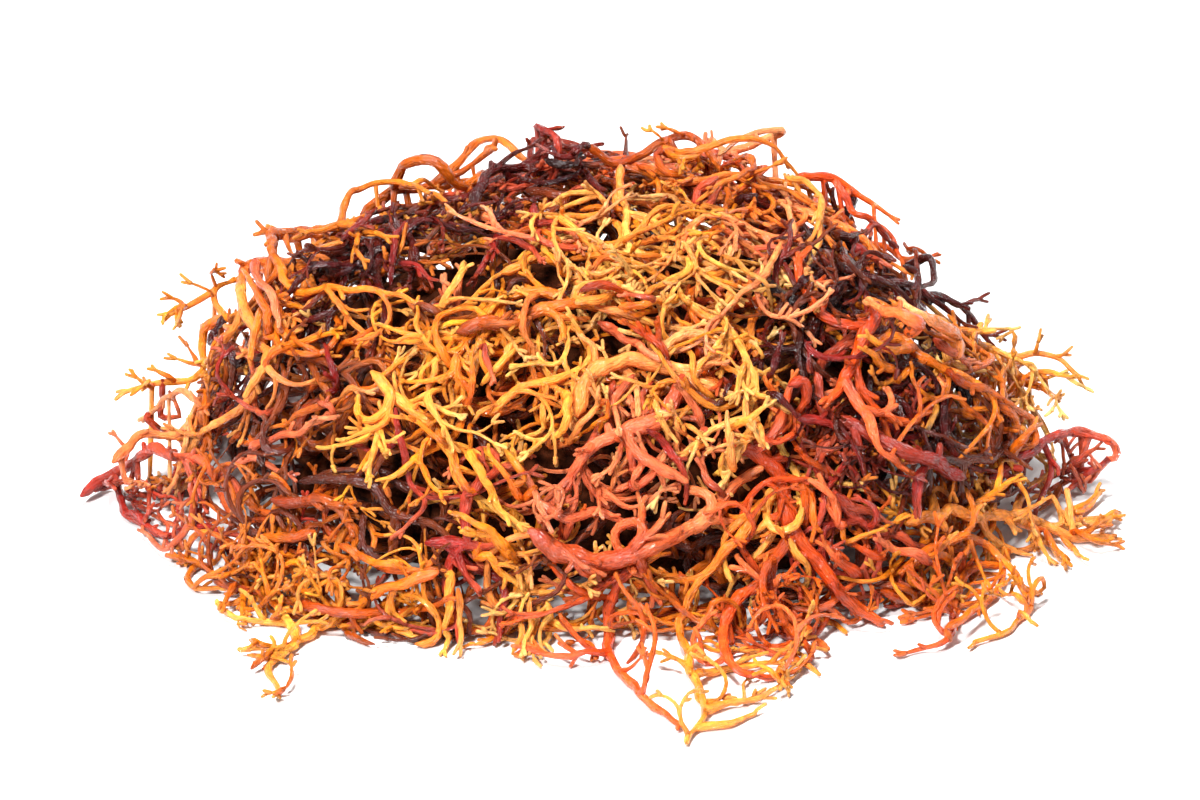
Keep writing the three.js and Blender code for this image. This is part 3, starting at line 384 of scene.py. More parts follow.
# Thinner strands of the front, which have no node of their own in the frame, by colour and radius in mm:
# each is a line of (x, y) places on a 1200 x 800 picture of the heap, from its root to its tip
THIN = {
    "pale": {
        0.5: [
            [(509, 331), (514, 325), (520, 320)], [(573, 315), (578, 324)],
            [(594, 328), (593, 335), (599, 339)], [(434, 375), (428, 380), (430, 392), (437, 401)],
            [(454, 413), (448, 421), (452, 430), (463, 428), (467, 419)],
            [(676, 282), (680, 292), (684, 299)], [(758, 415), (760, 427)], [(685, 434), (694, 440)],
            [(769, 392), (778, 385)], [(756, 345), (763, 356)],
            [(1002, 337), (1010, 330), (1014, 337), (1013, 348)], [(905, 488), (898, 498), (899, 509)],
        ],
        0.55: [[(501, 329), (510, 340), (519, 351), (526, 357)]],
        0.6: [
            [(419, 403), (435, 407), (450, 415), (458, 419)],
            [(471, 425), (475, 417), (483, 409), (492, 403)],
            [(570, 265), (578, 269), (584, 272), (582, 281)],
            [(588, 261), (586, 269), (595, 273), (611, 271), (618, 263)],
            [(628, 255), (643, 256), (660, 253)],
            [(722, 255), (736, 263), (749, 275), (763, 282), (765, 294), (770, 307), (772, 315)],
            [(672, 407), (675, 418), (679, 431)], [(606, 393), (606, 411), (602, 424)],
            [(722, 365), (733, 370), (741, 380), (747, 389)], [(745, 363), (739, 378), (733, 393)],
            [(754, 430), (758, 438), (764, 448)], [(733, 434), (745, 436), (755, 438)],
            [(750, 440), (741, 449), (731, 453)], [(685, 424), (695, 434), (703, 439)],
            [(687, 453), (695, 451), (706, 443)], [(772, 335), (762, 343), (752, 348)],
            [(893, 489), (897, 500), (892, 511)], [(283, 297), (300, 308), (316, 320), (331, 331)],
            [(524, 600), (518, 620), (520, 640), (511, 653)], [(530, 600), (527, 625), (523, 652)],
            [(536, 598), (540, 620), (530, 640), (535, 661)],
            [(545, 600), (550, 615), (540, 635), (543, 650)], [(440, 491), (450, 500), (463, 505)],
        ],
        0.7: [
            [(596, 307), (617, 314), (640, 322), (665, 328), (682, 328), (702, 326)],
            [(562, 390), (567, 402), (565, 420), (556, 436), (540, 441), (524, 440)],
            [(592, 381), (597, 392), (600, 402), (590, 413), (579, 424), (570, 436), (550, 446)],
            [(657, 286), (672, 278), (688, 267), (697, 257)],
            [(764, 407), (752, 413), (743, 422), (729, 431)], [(723, 454), (720, 468), (722, 485)],
            [(452, 575), (448, 595), (450, 615), (446, 635), (443, 651)],
            [(458, 590), (462, 610), (461, 630), (457, 642)],
        ],
        0.75: [
            [(538, 294), (526, 301), (521, 316), (524, 334), (530, 348), (541, 356)],
            [(600, 282), (584, 284), (572, 290), (576, 300), (595, 301), (613, 294)],
        ],
        0.8: [[(727, 422), (729, 438), (729, 449), (731, 461), (734, 468)]],
    },
    "gold": {
        0.5: [
            [(701, 234), (711, 236), (722, 231)], [(651, 130), (654, 135), (661, 137)],
            [(666, 127), (673, 129), (681, 134)], [(1038, 342), (1041, 347), (1035, 354)],
            [(1031, 592), (1042, 594)], [(172, 298), (178, 303), (185, 306)],
            [(191, 283), (200, 289), (211, 291)], [(211, 273), (219, 272), (225, 268)],
            [(263, 669), (270, 661), (279, 654)],
        ],
        0.55: [[(481, 348), (481, 363), (485, 375), (496, 378), (500, 367), (502, 355)]],
        0.6: [
            [(417, 346), (435, 347), (452, 353), (460, 362)],
            [(608, 400), (606, 413), (602, 424), (588, 432), (579, 434)],
            [(572, 244), (582, 240), (592, 244), (599, 249)],
            [(547, 253), (549, 260), (561, 263), (565, 275)], [(664, 238), (674, 229), (682, 222)],
            [(645, 294), (659, 288), (668, 282)], [(741, 196), (740, 205), (732, 213)],
            [(1024, 378), (1041, 372), (1058, 369), (1071, 376)], [(1035, 525), (1040, 540), (1049, 558)],
            [(1019, 611), (1031, 622)], [(850, 530), (865, 537), (880, 530), (895, 520)],
            [(870, 505), (885, 512), (900, 515), (909, 525)],
            [(842, 525), (845, 540), (860, 538), (875, 532)], [(800, 660), (812, 668), (819, 675)],
            [(780, 665), (790, 675), (788, 684)], [(758, 665), (772, 672), (781, 682)],
            [(184, 305), (173, 309), (166, 313)], [(182, 308), (174, 316), (177, 322)],
            [(187, 345), (191, 357), (198, 365)], [(155, 370), (163, 376), (173, 379)],
            [(136, 377), (145, 382), (153, 388)], [(130, 396), (134, 388), (146, 384)],
            [(250, 640), (262, 645), (276, 648)], [(248, 655), (262, 655), (279, 650)],
            [(252, 668), (262, 660), (276, 653)], [(279, 610), (271, 619)],
            [(278, 552), (295, 555), (315, 557), (335, 562), (351, 569)],
            [(282, 568), (292, 560), (300, 568), (310, 575), (326, 572)],
            [(290, 586), (298, 575), (307, 568)], [(296, 585), (306, 590), (318, 585), (331, 578)],
            [(312, 591), (322, 582), (335, 585), (346, 596)], [(262, 560), (270, 568), (265, 581)],
        ],
        0.7: [
            [(404, 417), (419, 421), (433, 430), (446, 444)], [(469, 427), (473, 438), (471, 450)],
            [(568, 259), (580, 255), (593, 255), (603, 252), (615, 248)],
            [(707, 275), (720, 282), (736, 286), (751, 288)],
            [(622, 303), (634, 313), (653, 311), (678, 313), (682, 321)],
            [(1021, 383), (1035, 386), (1046, 392), (1058, 401)], [(1060, 520), (1080, 505), (1095, 494)],
            [(1080, 525), (1100, 520), (1119, 514)], [(1075, 530), (1095, 540), (1113, 545)],
            [(1060, 535), (1075, 550), (1086, 562)], [(1045, 530), (1055, 548), (1062, 564)],
            [(908, 572), (916, 585), (930, 594), (948, 592), (962, 595)],
            [(985, 564), (996, 569), (1006, 561)], [(790, 540), (800, 555), (806, 575), (803, 591)],
            [(800, 600), (815, 612), (832, 622), (846, 633)], [(253, 588), (262, 594), (274, 600)],
            [(475, 560), (490, 555), (500, 570), (513, 581)],
        ],
        0.8: [
            [(456, 355), (456, 373), (462, 382), (465, 394), (467, 403)],
            [(471, 355), (475, 371), (473, 386), (472, 398)],
            [(664, 150), (680, 146), (694, 153), (698, 166)], [(1021, 375), (1013, 386), (1005, 395)],
            [(985, 362), (1003, 368), (1018, 379)], [(1005, 594), (1013, 600), (1025, 605)],
            [(222, 340), (214, 352), (203, 363)], [(270, 300), (282, 305), (292, 300), (299, 308)],
            [(332, 333), (315, 340), (296, 346), (280, 352), (268, 360)],
            [(262, 571), (268, 585), (271, 599)], [(490, 455), (500, 470), (512, 485), (521, 501)],
            [(505, 450), (515, 465), (526, 481)],
        ],
        0.9: [
            [(620, 307), (640, 303), (657, 300), (674, 301)],
            [(868, 336), (882, 345), (898, 348), (912, 346)], [(866, 350), (880, 358), (896, 365)],
            [(470, 450), (478, 470), (490, 490), (500, 510), (516, 526)],
            [(450, 455), (460, 475), (467, 491)],
        ],
        1.0: [
            [(946, 628), (960, 617), (978, 603)],
            [(460, 515), (475, 520), (490, 530), (505, 545), (516, 561)],
        ],
    },
    "amber": {
        0.5: [[(408, 303), (419, 313), (427, 325), (429, 334)]],
        0.6: [
            [(908, 248), (916, 254), (925, 252), (932, 248), (932, 258)],
            [(270, 693), (276, 685), (284, 690)], [(292, 665), (294, 675), (287, 686)],
        ],
        0.7: [
            [(638, 165), (655, 172), (675, 178)],
            [(270, 428), (285, 425), (300, 415), (315, 408), (328, 404)],
            [(236, 583), (226, 594), (222, 605)],
        ],
        0.8: [
            [(1010, 400), (1016, 417), (1024, 425), (1027, 446)],
            [(340, 545), (360, 555), (380, 562), (401, 570)],
            [(400, 615), (408, 625), (418, 636), (429, 630), (424, 618), (428, 608)],
        ],
        0.9: [
            [(952, 375), (965, 385), (985, 392), (1000, 401)],
            [(960, 400), (975, 415), (990, 428), (1010, 433)], [(1000, 405), (1015, 418), (1022, 433)],
            [(935, 430), (950, 440), (968, 446)], [(1035, 425), (1022, 440), (1012, 456)],
            [(300, 601), (330, 610), (365, 612), (400, 612), (430, 605), (451, 598)],
        ],
        1.0: [[(247, 275), (252, 290), (262, 305), (268, 322), (270, 336)]],
    },
    "orange": {
        0.5: [[(722, 166), (729, 167), (735, 163)], [(726, 178), (738, 173), (747, 171)]],
        0.6: [
            [(806, 455), (818, 449), (830, 445)], [(722, 515), (733, 513), (743, 503)],
            [(718, 387), (723, 378)],
        ],
        0.7: [
            [(503, 236), (530, 234), (548, 240), (566, 250)],
            [(655, 155), (664, 165), (672, 175), (690, 178)],
            [(793, 441), (806, 457), (820, 465), (829, 479)],
        ],
        0.8: [
            [(627, 323), (640, 332), (656, 340), (665, 348), (669, 357)],
            [(582, 290), (599, 286), (615, 286), (626, 292)],
            [(810, 480), (822, 490), (832, 505), (835, 526)],
            [(850, 460), (856, 475), (866, 490), (880, 500)],
            [(775, 600), (785, 620), (797, 640), (810, 656)],
            [(560, 620), (575, 630), (588, 645), (593, 656)],
        ],
        0.9: [[(855, 545), (870, 555), (886, 563)], [(835, 590), (850, 600), (868, 612), (881, 620)]],
        1.0: [
            [(790, 385), (800, 378), (808, 390), (803, 407), (796, 420), (789, 437), (778, 441), (764, 436)],
            [(825, 545), (840, 560), (861, 575)], [(770, 560), (762, 580), (765, 600), (772, 619)],
        ],
    },
    "salmon": {
        0.5: [[(115, 435), (122, 440), (129, 450)]],
        0.6: [
            [(720, 221), (732, 223), (744, 226)], [(626, 294), (640, 296), (655, 300)],
            [(625, 388), (631, 401), (633, 415)], [(652, 382), (645, 392), (643, 403), (645, 413)],
            [(631, 445), (625, 461), (616, 472), (612, 487)],
            [(340, 398), (348, 390), (358, 387), (367, 393)],
        ],
        0.7: [
            [(444, 282), (448, 292), (446, 303)], [(724, 228), (738, 240), (749, 248), (757, 252)],
            [(633, 376), (623, 388), (618, 403), (618, 418), (620, 427)],
            [(622, 442), (620, 455), (610, 467), (600, 476)], [(1030, 500), (1045, 490), (1050, 479)],
            [(1045, 505), (1058, 495), (1061, 484)],
            [(318, 402), (328, 404), (333, 412), (325, 420), (312, 425)],
        ],
        0.8: [
            [(462, 272), (460, 285), (455, 297), (455, 308)], [(490, 212), (492, 225), (499, 232)],
            [(681, 390), (689, 403), (697, 415), (700, 427)],
            [(662, 461), (656, 472), (645, 484), (633, 490)], [(145, 418), (152, 425), (166, 432)],
            [(162, 400), (158, 410), (164, 420), (175, 420), (180, 410), (172, 402)],
        ],
        0.9: [
            [(600, 323), (613, 328), (627, 340), (646, 350), (660, 357)],
            [(640, 442), (646, 455), (645, 468), (637, 482)],
            [(250, 448), (262, 440), (275, 435), (292, 432), (310, 422), (327, 418)],
        ],
        1.0: [
            [(935, 340), (950, 352), (970, 363)], [(880, 540), (895, 548), (915, 552), (930, 561)],
            [(255, 260), (262, 280), (272, 300), (276, 319)],
        ],
        1.1: [
            [(872, 303), (890, 312), (905, 318), (920, 330)],
            [(905, 305), (925, 318), (945, 330), (958, 345)],
        ],
    },
    "rose": {
        0.6: [[(820, 463), (823, 453), (835, 449)], [(847, 463), (850, 472), (860, 478)]],
        0.7: [[(485, 344), (487, 359), (494, 373)], [(863, 238), (872, 224), (880, 232), (886, 241)]],
        0.75: [[(400, 263), (413, 265), (425, 273), (429, 279)]],
        0.8: [
            [(534, 205), (535, 218), (540, 227), (553, 225), (565, 228), (574, 232)],
            [(648, 430), (660, 438), (670, 449), (680, 462), (685, 476), (685, 490)],
            [(800, 420), (816, 418), (829, 422), (839, 438), (845, 453)],
            [(1060, 475), (1080, 462), (1098, 450)], [(1068, 490), (1085, 475), (1106, 462)],
            [(325, 345), (330, 360), (335, 375), (337, 391)],
        ],
        0.85: [
            [(496, 238), (494, 252), (483, 261), (475, 271)],
            [(499, 238), (518, 240), (530, 248), (540, 258)],
        ],
        0.9: [[(854, 244), (868, 258), (875, 265)], [(838, 495), (850, 503), (866, 507), (884, 518)]],
        1.0: [
            [(716, 178), (706, 186), (697, 195), (696, 206), (704, 206), (714, 196), (720, 186)],
            [(702, 461), (704, 476), (710, 486), (721, 490)],
        ],
    },
    "maroon": {
        0.7: [
            [(907, 264), (918, 261), (929, 266), (935, 277), (929, 289), (918, 291)],
            [(904, 266), (918, 268), (924, 277), (918, 289)],
        ],
        0.8: [
            [(552, 146), (558, 160), (553, 174)],
            [(832, 196), (837, 210), (842, 220), (848, 212), (853, 204)],
        ],
        0.9: [
            [(548, 152), (560, 158), (574, 156), (583, 148)],
            [(546, 160), (556, 168), (568, 165), (580, 160)],
            [(561, 177), (572, 167), (588, 163), (599, 163)], [(781, 342), (777, 357), (773, 372)],
            [(768, 393), (781, 401), (793, 409)], [(832, 233), (846, 236), (860, 232)],
            [(837, 247), (851, 264), (863, 276)], [(217, 328), (212, 338), (216, 347), (227, 353)],
        ],
        1.0: [[(743, 196), (755, 200), (768, 207), (780, 211)]],
        1.2: [[(230, 350), (240, 356), (236, 366)]],
    },
    "umber": {
        0.9: [[(419, 303), (438, 311), (458, 317), (473, 315)], [(695, 392), (706, 401), (718, 405)]],
    },
}
PICTURE_MM = 0.22  # the size at the heap of one step on that picture
PICTURE_MIDDLE = (600, 400)
THIN_STEP = 4.0
THIN_GAIN = (1.15, 1.45)  # how much thicker they are drawn than they were read


def seeded(seed):
    """A seeded draw from 0 to 1."""
    state = seed

    def draw():
        nonlocal state
        state = (state * 1664525 + 1013904223) % 4294967296
        return state / 4294967296

    return draw


def between(ends, share):
    return ends[0] + (ends[1] - ends[0]) * share


def unit(vector):
    return vector / np.sqrt(vector @ vector)


def view_from(azimuth, elevation):
    """The view from one side: where the eye is, and the plane through the target that faces it."""
    a, e = math.radians(azimuth), math.radians(elevation)
    back = np.array([math.sin(a) * math.cos(e), -math.cos(a) * math.cos(e), math.sin(e)])
    right = np.array([math.cos(a), math.sin(a), 0.0])
    return TARGET + back * LOOK_DISTANCE, right, np.cross(back, right)


FRONT_VIEW = view_from(0, LOOK_ELEVATION)


def heap_level(points, size):
    """How far out points are, from 0 in the middle to 1 on a heap of this size."""
    points = np.asarray(points)
    return (np.abs(points[..., 0] / size[0]) ** 3 + (points[..., 1] / size[1]) ** 2
            + (np.maximum(points[..., 2], 0) / size[2]) ** 1.5)


def on_bed(view, across, up, radius):
    """The sight line through (across, up), and how far on it meets the bed or ground, or passes nearest."""
    eye, right, upward = view
    sight = unit(TARGET + right * across + upward * up - eye)
    ground = (radius + GROUND_GAP - eye[2]) / sight[2]
    last = min(LOOK_DISTANCE + SIGHT_REACH, ground)
    far = np.arange(LOOK_DISTANCE - SIGHT_REACH, last, SIGHT_STEP)
    if not len(far):
        return sight, last
    level = heap_level(eye + sight * far[:, None], HEAP * BED_LEVEL + radius)
    inside = np.flatnonzero(level < 1)
    if not len(inside):
        return sight, far[np.argmin(level)]
    i = inside[0]
    return sight, far[i] - (SIGHT_STEP * (1 - level[i]) / (level[i - 1] - level[i]) if i else 0)


def catmull_rom(points, t):
    """Points at parameters t, from 0 to 1, on the centripetal Catmull-Rom curve through the given points."""
    ends = np.vstack([2 * points[0] - points[1], points, 2 * points[-1] - points[-2]])
    place = np.minimum(np.asarray(t) * (len(points) - 1), len(points) - 1 - 1e-12)
    i = place.astype(int)
    w = (place - i)[:, None]
    p0, p1, p2, p3 = ends[i], ends[i + 1], ends[i + 2], ends[i + 3]
    d0, d1, d2 = (((b - a) ** 2).sum(1)[:, None] ** 0.25 for a, b in ((p0, p1), (p1, p2), (p2, p3)))
    m1 = ((p1 - p0) / d0 - (p2 - p0) / (d0 + d1) + (p2 - p1) / d1) * d1
    m2 = ((p2 - p1) / d1 - (p3 - p1) / (d1 + d2) + (p3 - p2) / d2) * d1
    return p1 + m1 * w + (3 * (p2 - p1) - 2 * m1 - m2) * w**2 + (2 * (p1 - p2) + m1 + m2) * w**3


def steps_of(points):
    """How far each point is from the one before it."""
    return np.sqrt(((points[1:] - points[:-1]) ** 2).sum(1))


def way_along(points):
    """How far along the line each point is."""
    return np.concatenate([[0], np.cumsum(steps_of(points))])


def spaced(points, step):
    """Points about one step apart along the curve through the given points."""
    t = np.linspace(0, 1, CURVE_DIVISIONS + 1)
    line = catmull_rom(points, t)
    along = way_along(line)
    pieces = max(1, math.floor(along[-1] / step + 0.5))
    return catmull_rom(points, np.interp(np.linspace(0, along[-1], pieces + 1), along, t))


def flat_curve(line, step=STRAND_STEP):
    points = np.array(line, float)
    if len(points) == 2:
        pieces = max(1, math.floor(math.dist(*points) / step + 0.5))
        return points[0] + (points[1] - points[0]) * np.linspace(0, 1, pieces + 1)[:, None]
    return spaced(points, step)


class Placed:
    """Every straight piece laid so far, with the frond that it is in."""

    def __init__(self):
        self.ends = np.zeros((0, 2, 3))
        self.radii = np.zeros(0)
        self.fronds = []
        self.own = np.array(self.fronds)

    def remember(self, frond, points, radii):
        pieces = np.stack([points[:-1], points[1:]], 1)
        self.ends = np.concatenate([self.ends, pieces])
        self.radii = np.concatenate([self.radii, np.maximum(radii[:-1], radii[1:])])
        self.fronds += [frond] * len(pieces)
        self.own = np.array(self.fronds)


placed = Placed()


def crowding(frond, points, radii, root):
    """How far a strand's pieces reach into what is already laid, for each of its points."""
    first = 1 if root else 0
    need = np.zeros(len(points))
    if not len(placed.radii):
        return need
    reach = radii.max() + FROND_GAP
    low, high = points.min(0) - reach, points.max(0) + reach
    near = ((placed.ends.min(1) - placed.radii[:, None] < high).all(1)
            & (placed.ends.max(1) + placed.radii[:, None] > low).all(1))
    own = placed.own == frond
    if not root:
        near &= ~own
    a, b, r = placed.ends[near, 0], placed.ends[near, 1], placed.radii[near]
    own = own[near]
    if not len(r):
        return need
    ab = b - a
    size = np.maximum((ab**2).sum(1), 1e-9)
    for i in range(len(points) - 1):
        span = math.dist(points[i], points[i + 1])
        samples = max(1, math.ceil(span / SAMPLE_STEP))
        share = np.arange(samples + 1) / samples
        p = points[i] * (1 - share)[:, None] + points[i + 1] * share[:, None]
        ap = p[:, None] - a
        t = np.clip((ap * ab).sum(2) / size, 0, 1)
        away = np.sqrt(((ap - ab * t[..., None]) ** 2).sum(2))
        short = (radii[i] * (1 - share) + radii[i + 1] * share)[:, None] + r + FROND_GAP - away
        if root:
            at_root = np.sqrt(((p - root[0]) ** 2).sum(1)) < ROOT_ROOM * (root[1] + radii[0])
            short[at_root[:, None] & own] = 0
        worst = np.maximum(short.max(1), 0)
        if i >= first:
            need[i] = max(need[i], worst[share < 1 - NEAR_END].max())
        later = worst if i < first else worst[share > NEAR_END]
        need[i + 1] = max(need[i + 1], later.max())
    return need


def lay_strand(frond, view, flat, radii, root):
    """Lays one strand: its points stay on their sight lines and rise towards the viewer until it is clear."""
    first = 1 if root else 0
    beds = [on_bed(view, across, up, radii[i]) for i, (across, up) in enumerate(flat)]
    sights = np.array([sight for sight, far in beds])
    far = np.array([far for sight, far in beds])
    if root:
        far[0] = math.dist(root[0], view[0])
    spans = np.hypot(*(flat[1:] - flat[:-1]).T)

    def at():
        points = view[0] + sights * far[:, None]
        if root:
            points[0] = root[0]
        return points

    for _ in range(LAY_ROUNDS):
        for i in range(1, len(far)):
            far[i] = min(far[i], far[i - 1] + STEEPEST * spans[i - 1])
        for i in range(len(far) - 2, first - 1, -1):
            far[i] = min(far[i], far[i + 1] + STEEPEST * spans[i])
        need = crowding(frond, at(), radii, root)
        if not (need > 0).any():
            return at()
        far[need > 0] -= LIFT_SHARE * need[need > 0] + LEAST_LIFT
    return at()[: np.flatnonzero(need > 0)[0]]


def root_on(strands, start):
    """The place on a frond's strands nearest to a flat point, with the strand's radius there."""
    best = None
    for k, strand in enumerate(strands):
        for i in range(len(strand["points"]) - 1):
            (ax, ay), (bx, by) = strand["flat"][i], strand["flat"][i + 1]
            span = max((bx - ax) ** 2 + (by - ay) ** 2, 1e-9)
            share = min(1, max(0, ((start[0] - ax) * (bx - ax) + (start[1] - ay) * (by - ay)) / span))
            away = math.hypot(start[0] - ax - share * (bx - ax), start[1] - ay - share * (by - ay))
            if best is None or away < best[0]:
                points, radii = strand["points"], strand["radii"]
                best = (away, points[i] * (1 - share) + points[i + 1] * share,
                        radii[i] * (1 - share) + radii[i + 1] * share, (k, i + share))
    return best[1:]


def taper(count, radius):
    return radius * (1 - (1 - TIP_SHARE) * (np.arange(count) / (count - 1)) ** TIP_POWER)


def lay_frond(name, colour, radius, twigs, lines, view, limit):
    strands = []
    for index, line in enumerate(lines):
        flat = flat_curve(line)
        radii = taper(len(flat), radius * BRANCH_SHARE if index else radius)
        root = root_on(strands, flat[0]) if index else None
        points = lay_strand(name, view, flat, radii, root)
        off = np.flatnonzero(heap_level(points, HEAP * limit + radius) > 1)
        count = off[0] if len(off) else len(points)
        if count < 2:
            continue
        strands.append(dict(points=points[:count], flat=flat[:count], radii=radii[:count],
                            parent=root[2] if root else None))
        placed.remember(name, points[:count], radii[:count])
    return dict(name=name, colour=colour, twigs=twigs, strands=strands)


def wander(draw, start, heading, steps):
    line = [tuple(start)]
    across, up = start
    for _ in range(steps):
        if math.hypot(across / WANDER["half_width"], up / WANDER["half_height"]) > 1:
            home = math.atan2(-up, -across)
            heading += WANDER["homing"] * math.atan2(math.sin(home - heading), math.cos(home - heading))
        heading += WANDER["curl"] * (draw() - 0.5)
        across += WANDER["step"] * math.cos(heading)
        up += WANDER["step"] * math.sin(heading)
        line.append((across, up))
    return line


def wandering_frond(row, index):
    name, colour, radius, twigs, azimuth, start, heading, sides = row
    draw = seeded(index + 1)
    lines = [wander(draw, start, math.radians(heading), WANDER["main_steps"])]
    for _ in range(sides):
        source = lines[math.floor(draw() * min(len(lines), 3))]
        at = 1 + math.floor(draw() * (len(source) - 2))
        along = math.atan2(source[at + 1][1] - source[at][1], source[at + 1][0] - source[at][0])
        turn = (-1 if draw() < 0.5 else 1) * between(WANDER["turn"], draw())
        lines.append(wander(draw, source[at], along + turn, WANDER["side_steps"]))
    return lay_frond(name, colour, radius, twigs, lines, view_from(azimuth, BACK_ELEVATION), WANDER["limit"])


def surface_along(directions):
    """How far out the heap's surface is along directions, when the heap is drawn with half sizes of 1."""
    directions = np.asarray(directions, float)
    near = np.zeros(directions.shape[:-1])
    far = near + 2
    for _ in range(HALVINGS):
        middle = (near + far) / 2
        inside = heap_level(directions * middle[..., None], (1, 1, 1)) < 1
        near, far = np.where(inside, middle, near), np.where(inside, far, middle)
    return near


def on_heap(turn, rise, level):
    """Points on the heap's surface at a level, by the angle round the heap and the one up from the ground."""
    turn, rise, level = np.broadcast_arrays(turn, rise, level)
    direction = np.stack([np.cos(turn) * np.cos(rise), np.sin(turn) * np.cos(rise), np.sin(rise)], -1)
    return HEAP * level[..., None] * surface_along(direction)[..., None] * direction


def arch_strands():
    """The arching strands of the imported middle: each springs out of it and goes back in, clear of others."""
    draw = seeded(ARCH_SEED)
    strands = []
    foot = CORE_LEVEL - ARCH["sunk"]
    for k in range(ARCH["tries"]):
        turn = k * GOLDEN_ANGLE
        rise = math.asin(between(ARCH["rise"], draw()))
        heading = 2 * math.pi * draw()
        curl = (-1 if draw() < 0.5 else 1) * between(ARCH["curl"], draw())
        top = between(ARCH["top"], draw())
        turns, rises = [], []
        for _ in range(ARCH["pieces"] + 1):
            turns.append(turn)
            rises.append(rise)
            heading += curl
            turn += ARCH["step"] * math.cos(heading) / max(math.cos(rise), ARCH["pole_room"])
            rise = max(rise + ARCH["step"] * math.sin(heading), ARCH["lowest"])
        height = np.sqrt(np.abs(np.sin(math.pi * np.arange(ARCH["pieces"] + 1) / ARCH["pieces"])))
        points = on_heap(turns, rises, foot + (top - foot) * height)
        radii = np.full(len(points), ARCH["radius"])
        if (crowding(f"arch_{k}", points, radii, None) > 0).any():
            continue
        placed.remember(f"arch_{k}", points, radii)
        strands.append(dict(points=points, radii=radii, parent=None))
    return strands


def twig_on(strand, draw):
    points = strand["points"]
    last = len(points) - 1
    spot = min(last, between(TWIG["spot"], draw()) * last)
    i = min(math.floor(spot), last - 1)
    place = points[i] * (1 - (spot - i)) + points[i + 1] * (spot - i)
    along = unit(points[i + 1] - points[i])
    beside = unit(np.cross(along, TWIG["upright"]))
    turn = 2 * math.pi * draw()
    away = beside * math.cos(turn) + np.cross(beside, along) * math.sin(turn)
    slanted = along * math.cos(TWIG["slant"]) + away * math.sin(TWIG["slant"])
    return np.array([place, place + slanted * between(TWIG["length"], draw())]), spot


def grow_twigs(frond, index):
    draw = seeded(TWIG_SEED + index)
    strands = list(frond["strands"])
    radii = np.array(TWIG["radii"])
    for k in range(frond["twigs"]):
        for _ in range(TWIG["tries"]):
            parent = k % len(frond["strands"])
            points, spot = twig_on(frond["strands"][parent], draw)
            if points[1][2] < radii[0] + GROUND_GAP:
                continue
            if (crowding(frond["name"], points, radii, (points[0], radii[0])) > 0).any():
                continue
            strands.append(dict(points=points, radii=radii, parent=(parent, spot)))
            placed.remember(frond["name"], points, radii)
            break
    return {**frond, "strands": strands}


def lay_all():
    arches = arch_strands()
    bare = [lay_frond(*row, FRONT_VIEW, math.inf) for row in FRONT]
    bare += [wandering_frond(row, index) for index, row in enumerate(AROUND)]
    return arches, [grow_twigs(frond, index) for index, frond in enumerate(bare)]


# Each colour of frond: how it looks at its root, along its middle and at its tips
COLOURS = {
    "pale": ("ec8426", "fdb650", "ffd084"),
    "gold": ("d6620c", "f99418", "ffb444"),
    "amber": ("923406", "dc6c14", "f99a3e"),
    "orange": ("9a2a04", "e04e0c", "fb842a"),
    "salmon": ("bc4420", "f07e4a", "ffb074"),
    "rose": ("7c0f0e", "bc2e20", "ec6f40"),
    "maroon": ("1c0202", "400504", "7c1a0c"),
    "umber": ("3a0e02", "7c2c06", "be5a16"),
}
# What each colour is multiplied by in its darker, redder blotches
BLOTCH = {
    "pale": (0.96, 0.72, 0.5),
    "gold": (0.9, 0.62, 0.5),
    "amber": (0.75, 0.5, 0.45),
    "orange": (0.8, 0.5, 0.4),
    "salmon": (0.85, 0.55, 0.55),
    "rose": (0.7, 0.5, 0.6),
    "maroon": (0.6, 0.5, 0.5),
    "umber": (0.6, 0.45, 0.4),
}
GLOW_SHARE = 0.3
ROUGHNESS = {"pale": 0.36, "gold": 0.36, "amber": 0.34, "orange": 0.33, "salmon": 0.34, "rose": 0.3,
             "maroon": 0.2, "umber": 0.36}

# Where in the front view each colour is commonest, as (across, up)
HAUNTS = {
    "pale": [(4, 37), (-9, 22), (22, 15), (31, 0), (-22, 4), (-30, -14), (92, 2)],
    "gold": [(-26, 0), (-33, -12), (-18, -35), (-66, -35), (18, 55), (31, -64), (84, -30), (88, 6)],
    "amber": [(-75, 0), (-58, 10), (88, 0), (79, -18), (-35, -35), (-60, -40)],
    "orange": [(9, -35), (44, -44), (22, -55), (55, -22)],
    "salmon": [(9, 0), (0, -18), (35, 40), (-29, 44), (66, 12)],
    "rose": [(-99, -22), (106, -11), (22, 48), (-18, -22)],
    "maroon": [(-48, 33), (-56, 26), (-40, 38), (-7, 53), (59, 26), (52, 0), (44, 10), (60, -10), (11, 46)],
    "umber": [(-59, 20), (-37, -18), (-66, -13), (40, 4), (-70, 8)],
}
HAUNT_REACH = 13.0

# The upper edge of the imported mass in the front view, as (across, up)
CREST = np.array([(-92, -18), (-88, 0), (-82, 15), (-68, 29), (-59, 36), (-44, 42), (-29, 44), (-13, 51),
                  (0, 53), (20, 55), (31, 48), (44, 45), (55, 38), (66, 26), (79, 15), (95, 7), (101, -2),
                  (106, -18)], float)

SLOTS = list(COLOURS)
FLOOR_GAP = 0.3
NOISE_SPREAD = 0.6
LUMPS = ((0.14, 5.0), (0.13, 2.0))  # how much a strand's width swells, and over what length in mm
SWAY = ((0.75, 9.0), (0.5, 4.0))  # how far a strand wavers in mm, and over what length
SWAY_START = 6
TWIG_SWAY = 0.3
TWIG_BEND = 0.12
CURVE_POINTS = 160
FEWEST_POINTS = 4
RIPE_DRIFT = (0.12, 16.0)
# How ripe strands are at the root, how much riper at the tip, by chance, and at least over their mother
FRAME_RIPE = dict(start=0.12, rise=0.55, chance=0.1, gain=0.15)
FILL_RIPE = dict(start=0.1, rise=0.5, chance=0.08, gain=0.18)

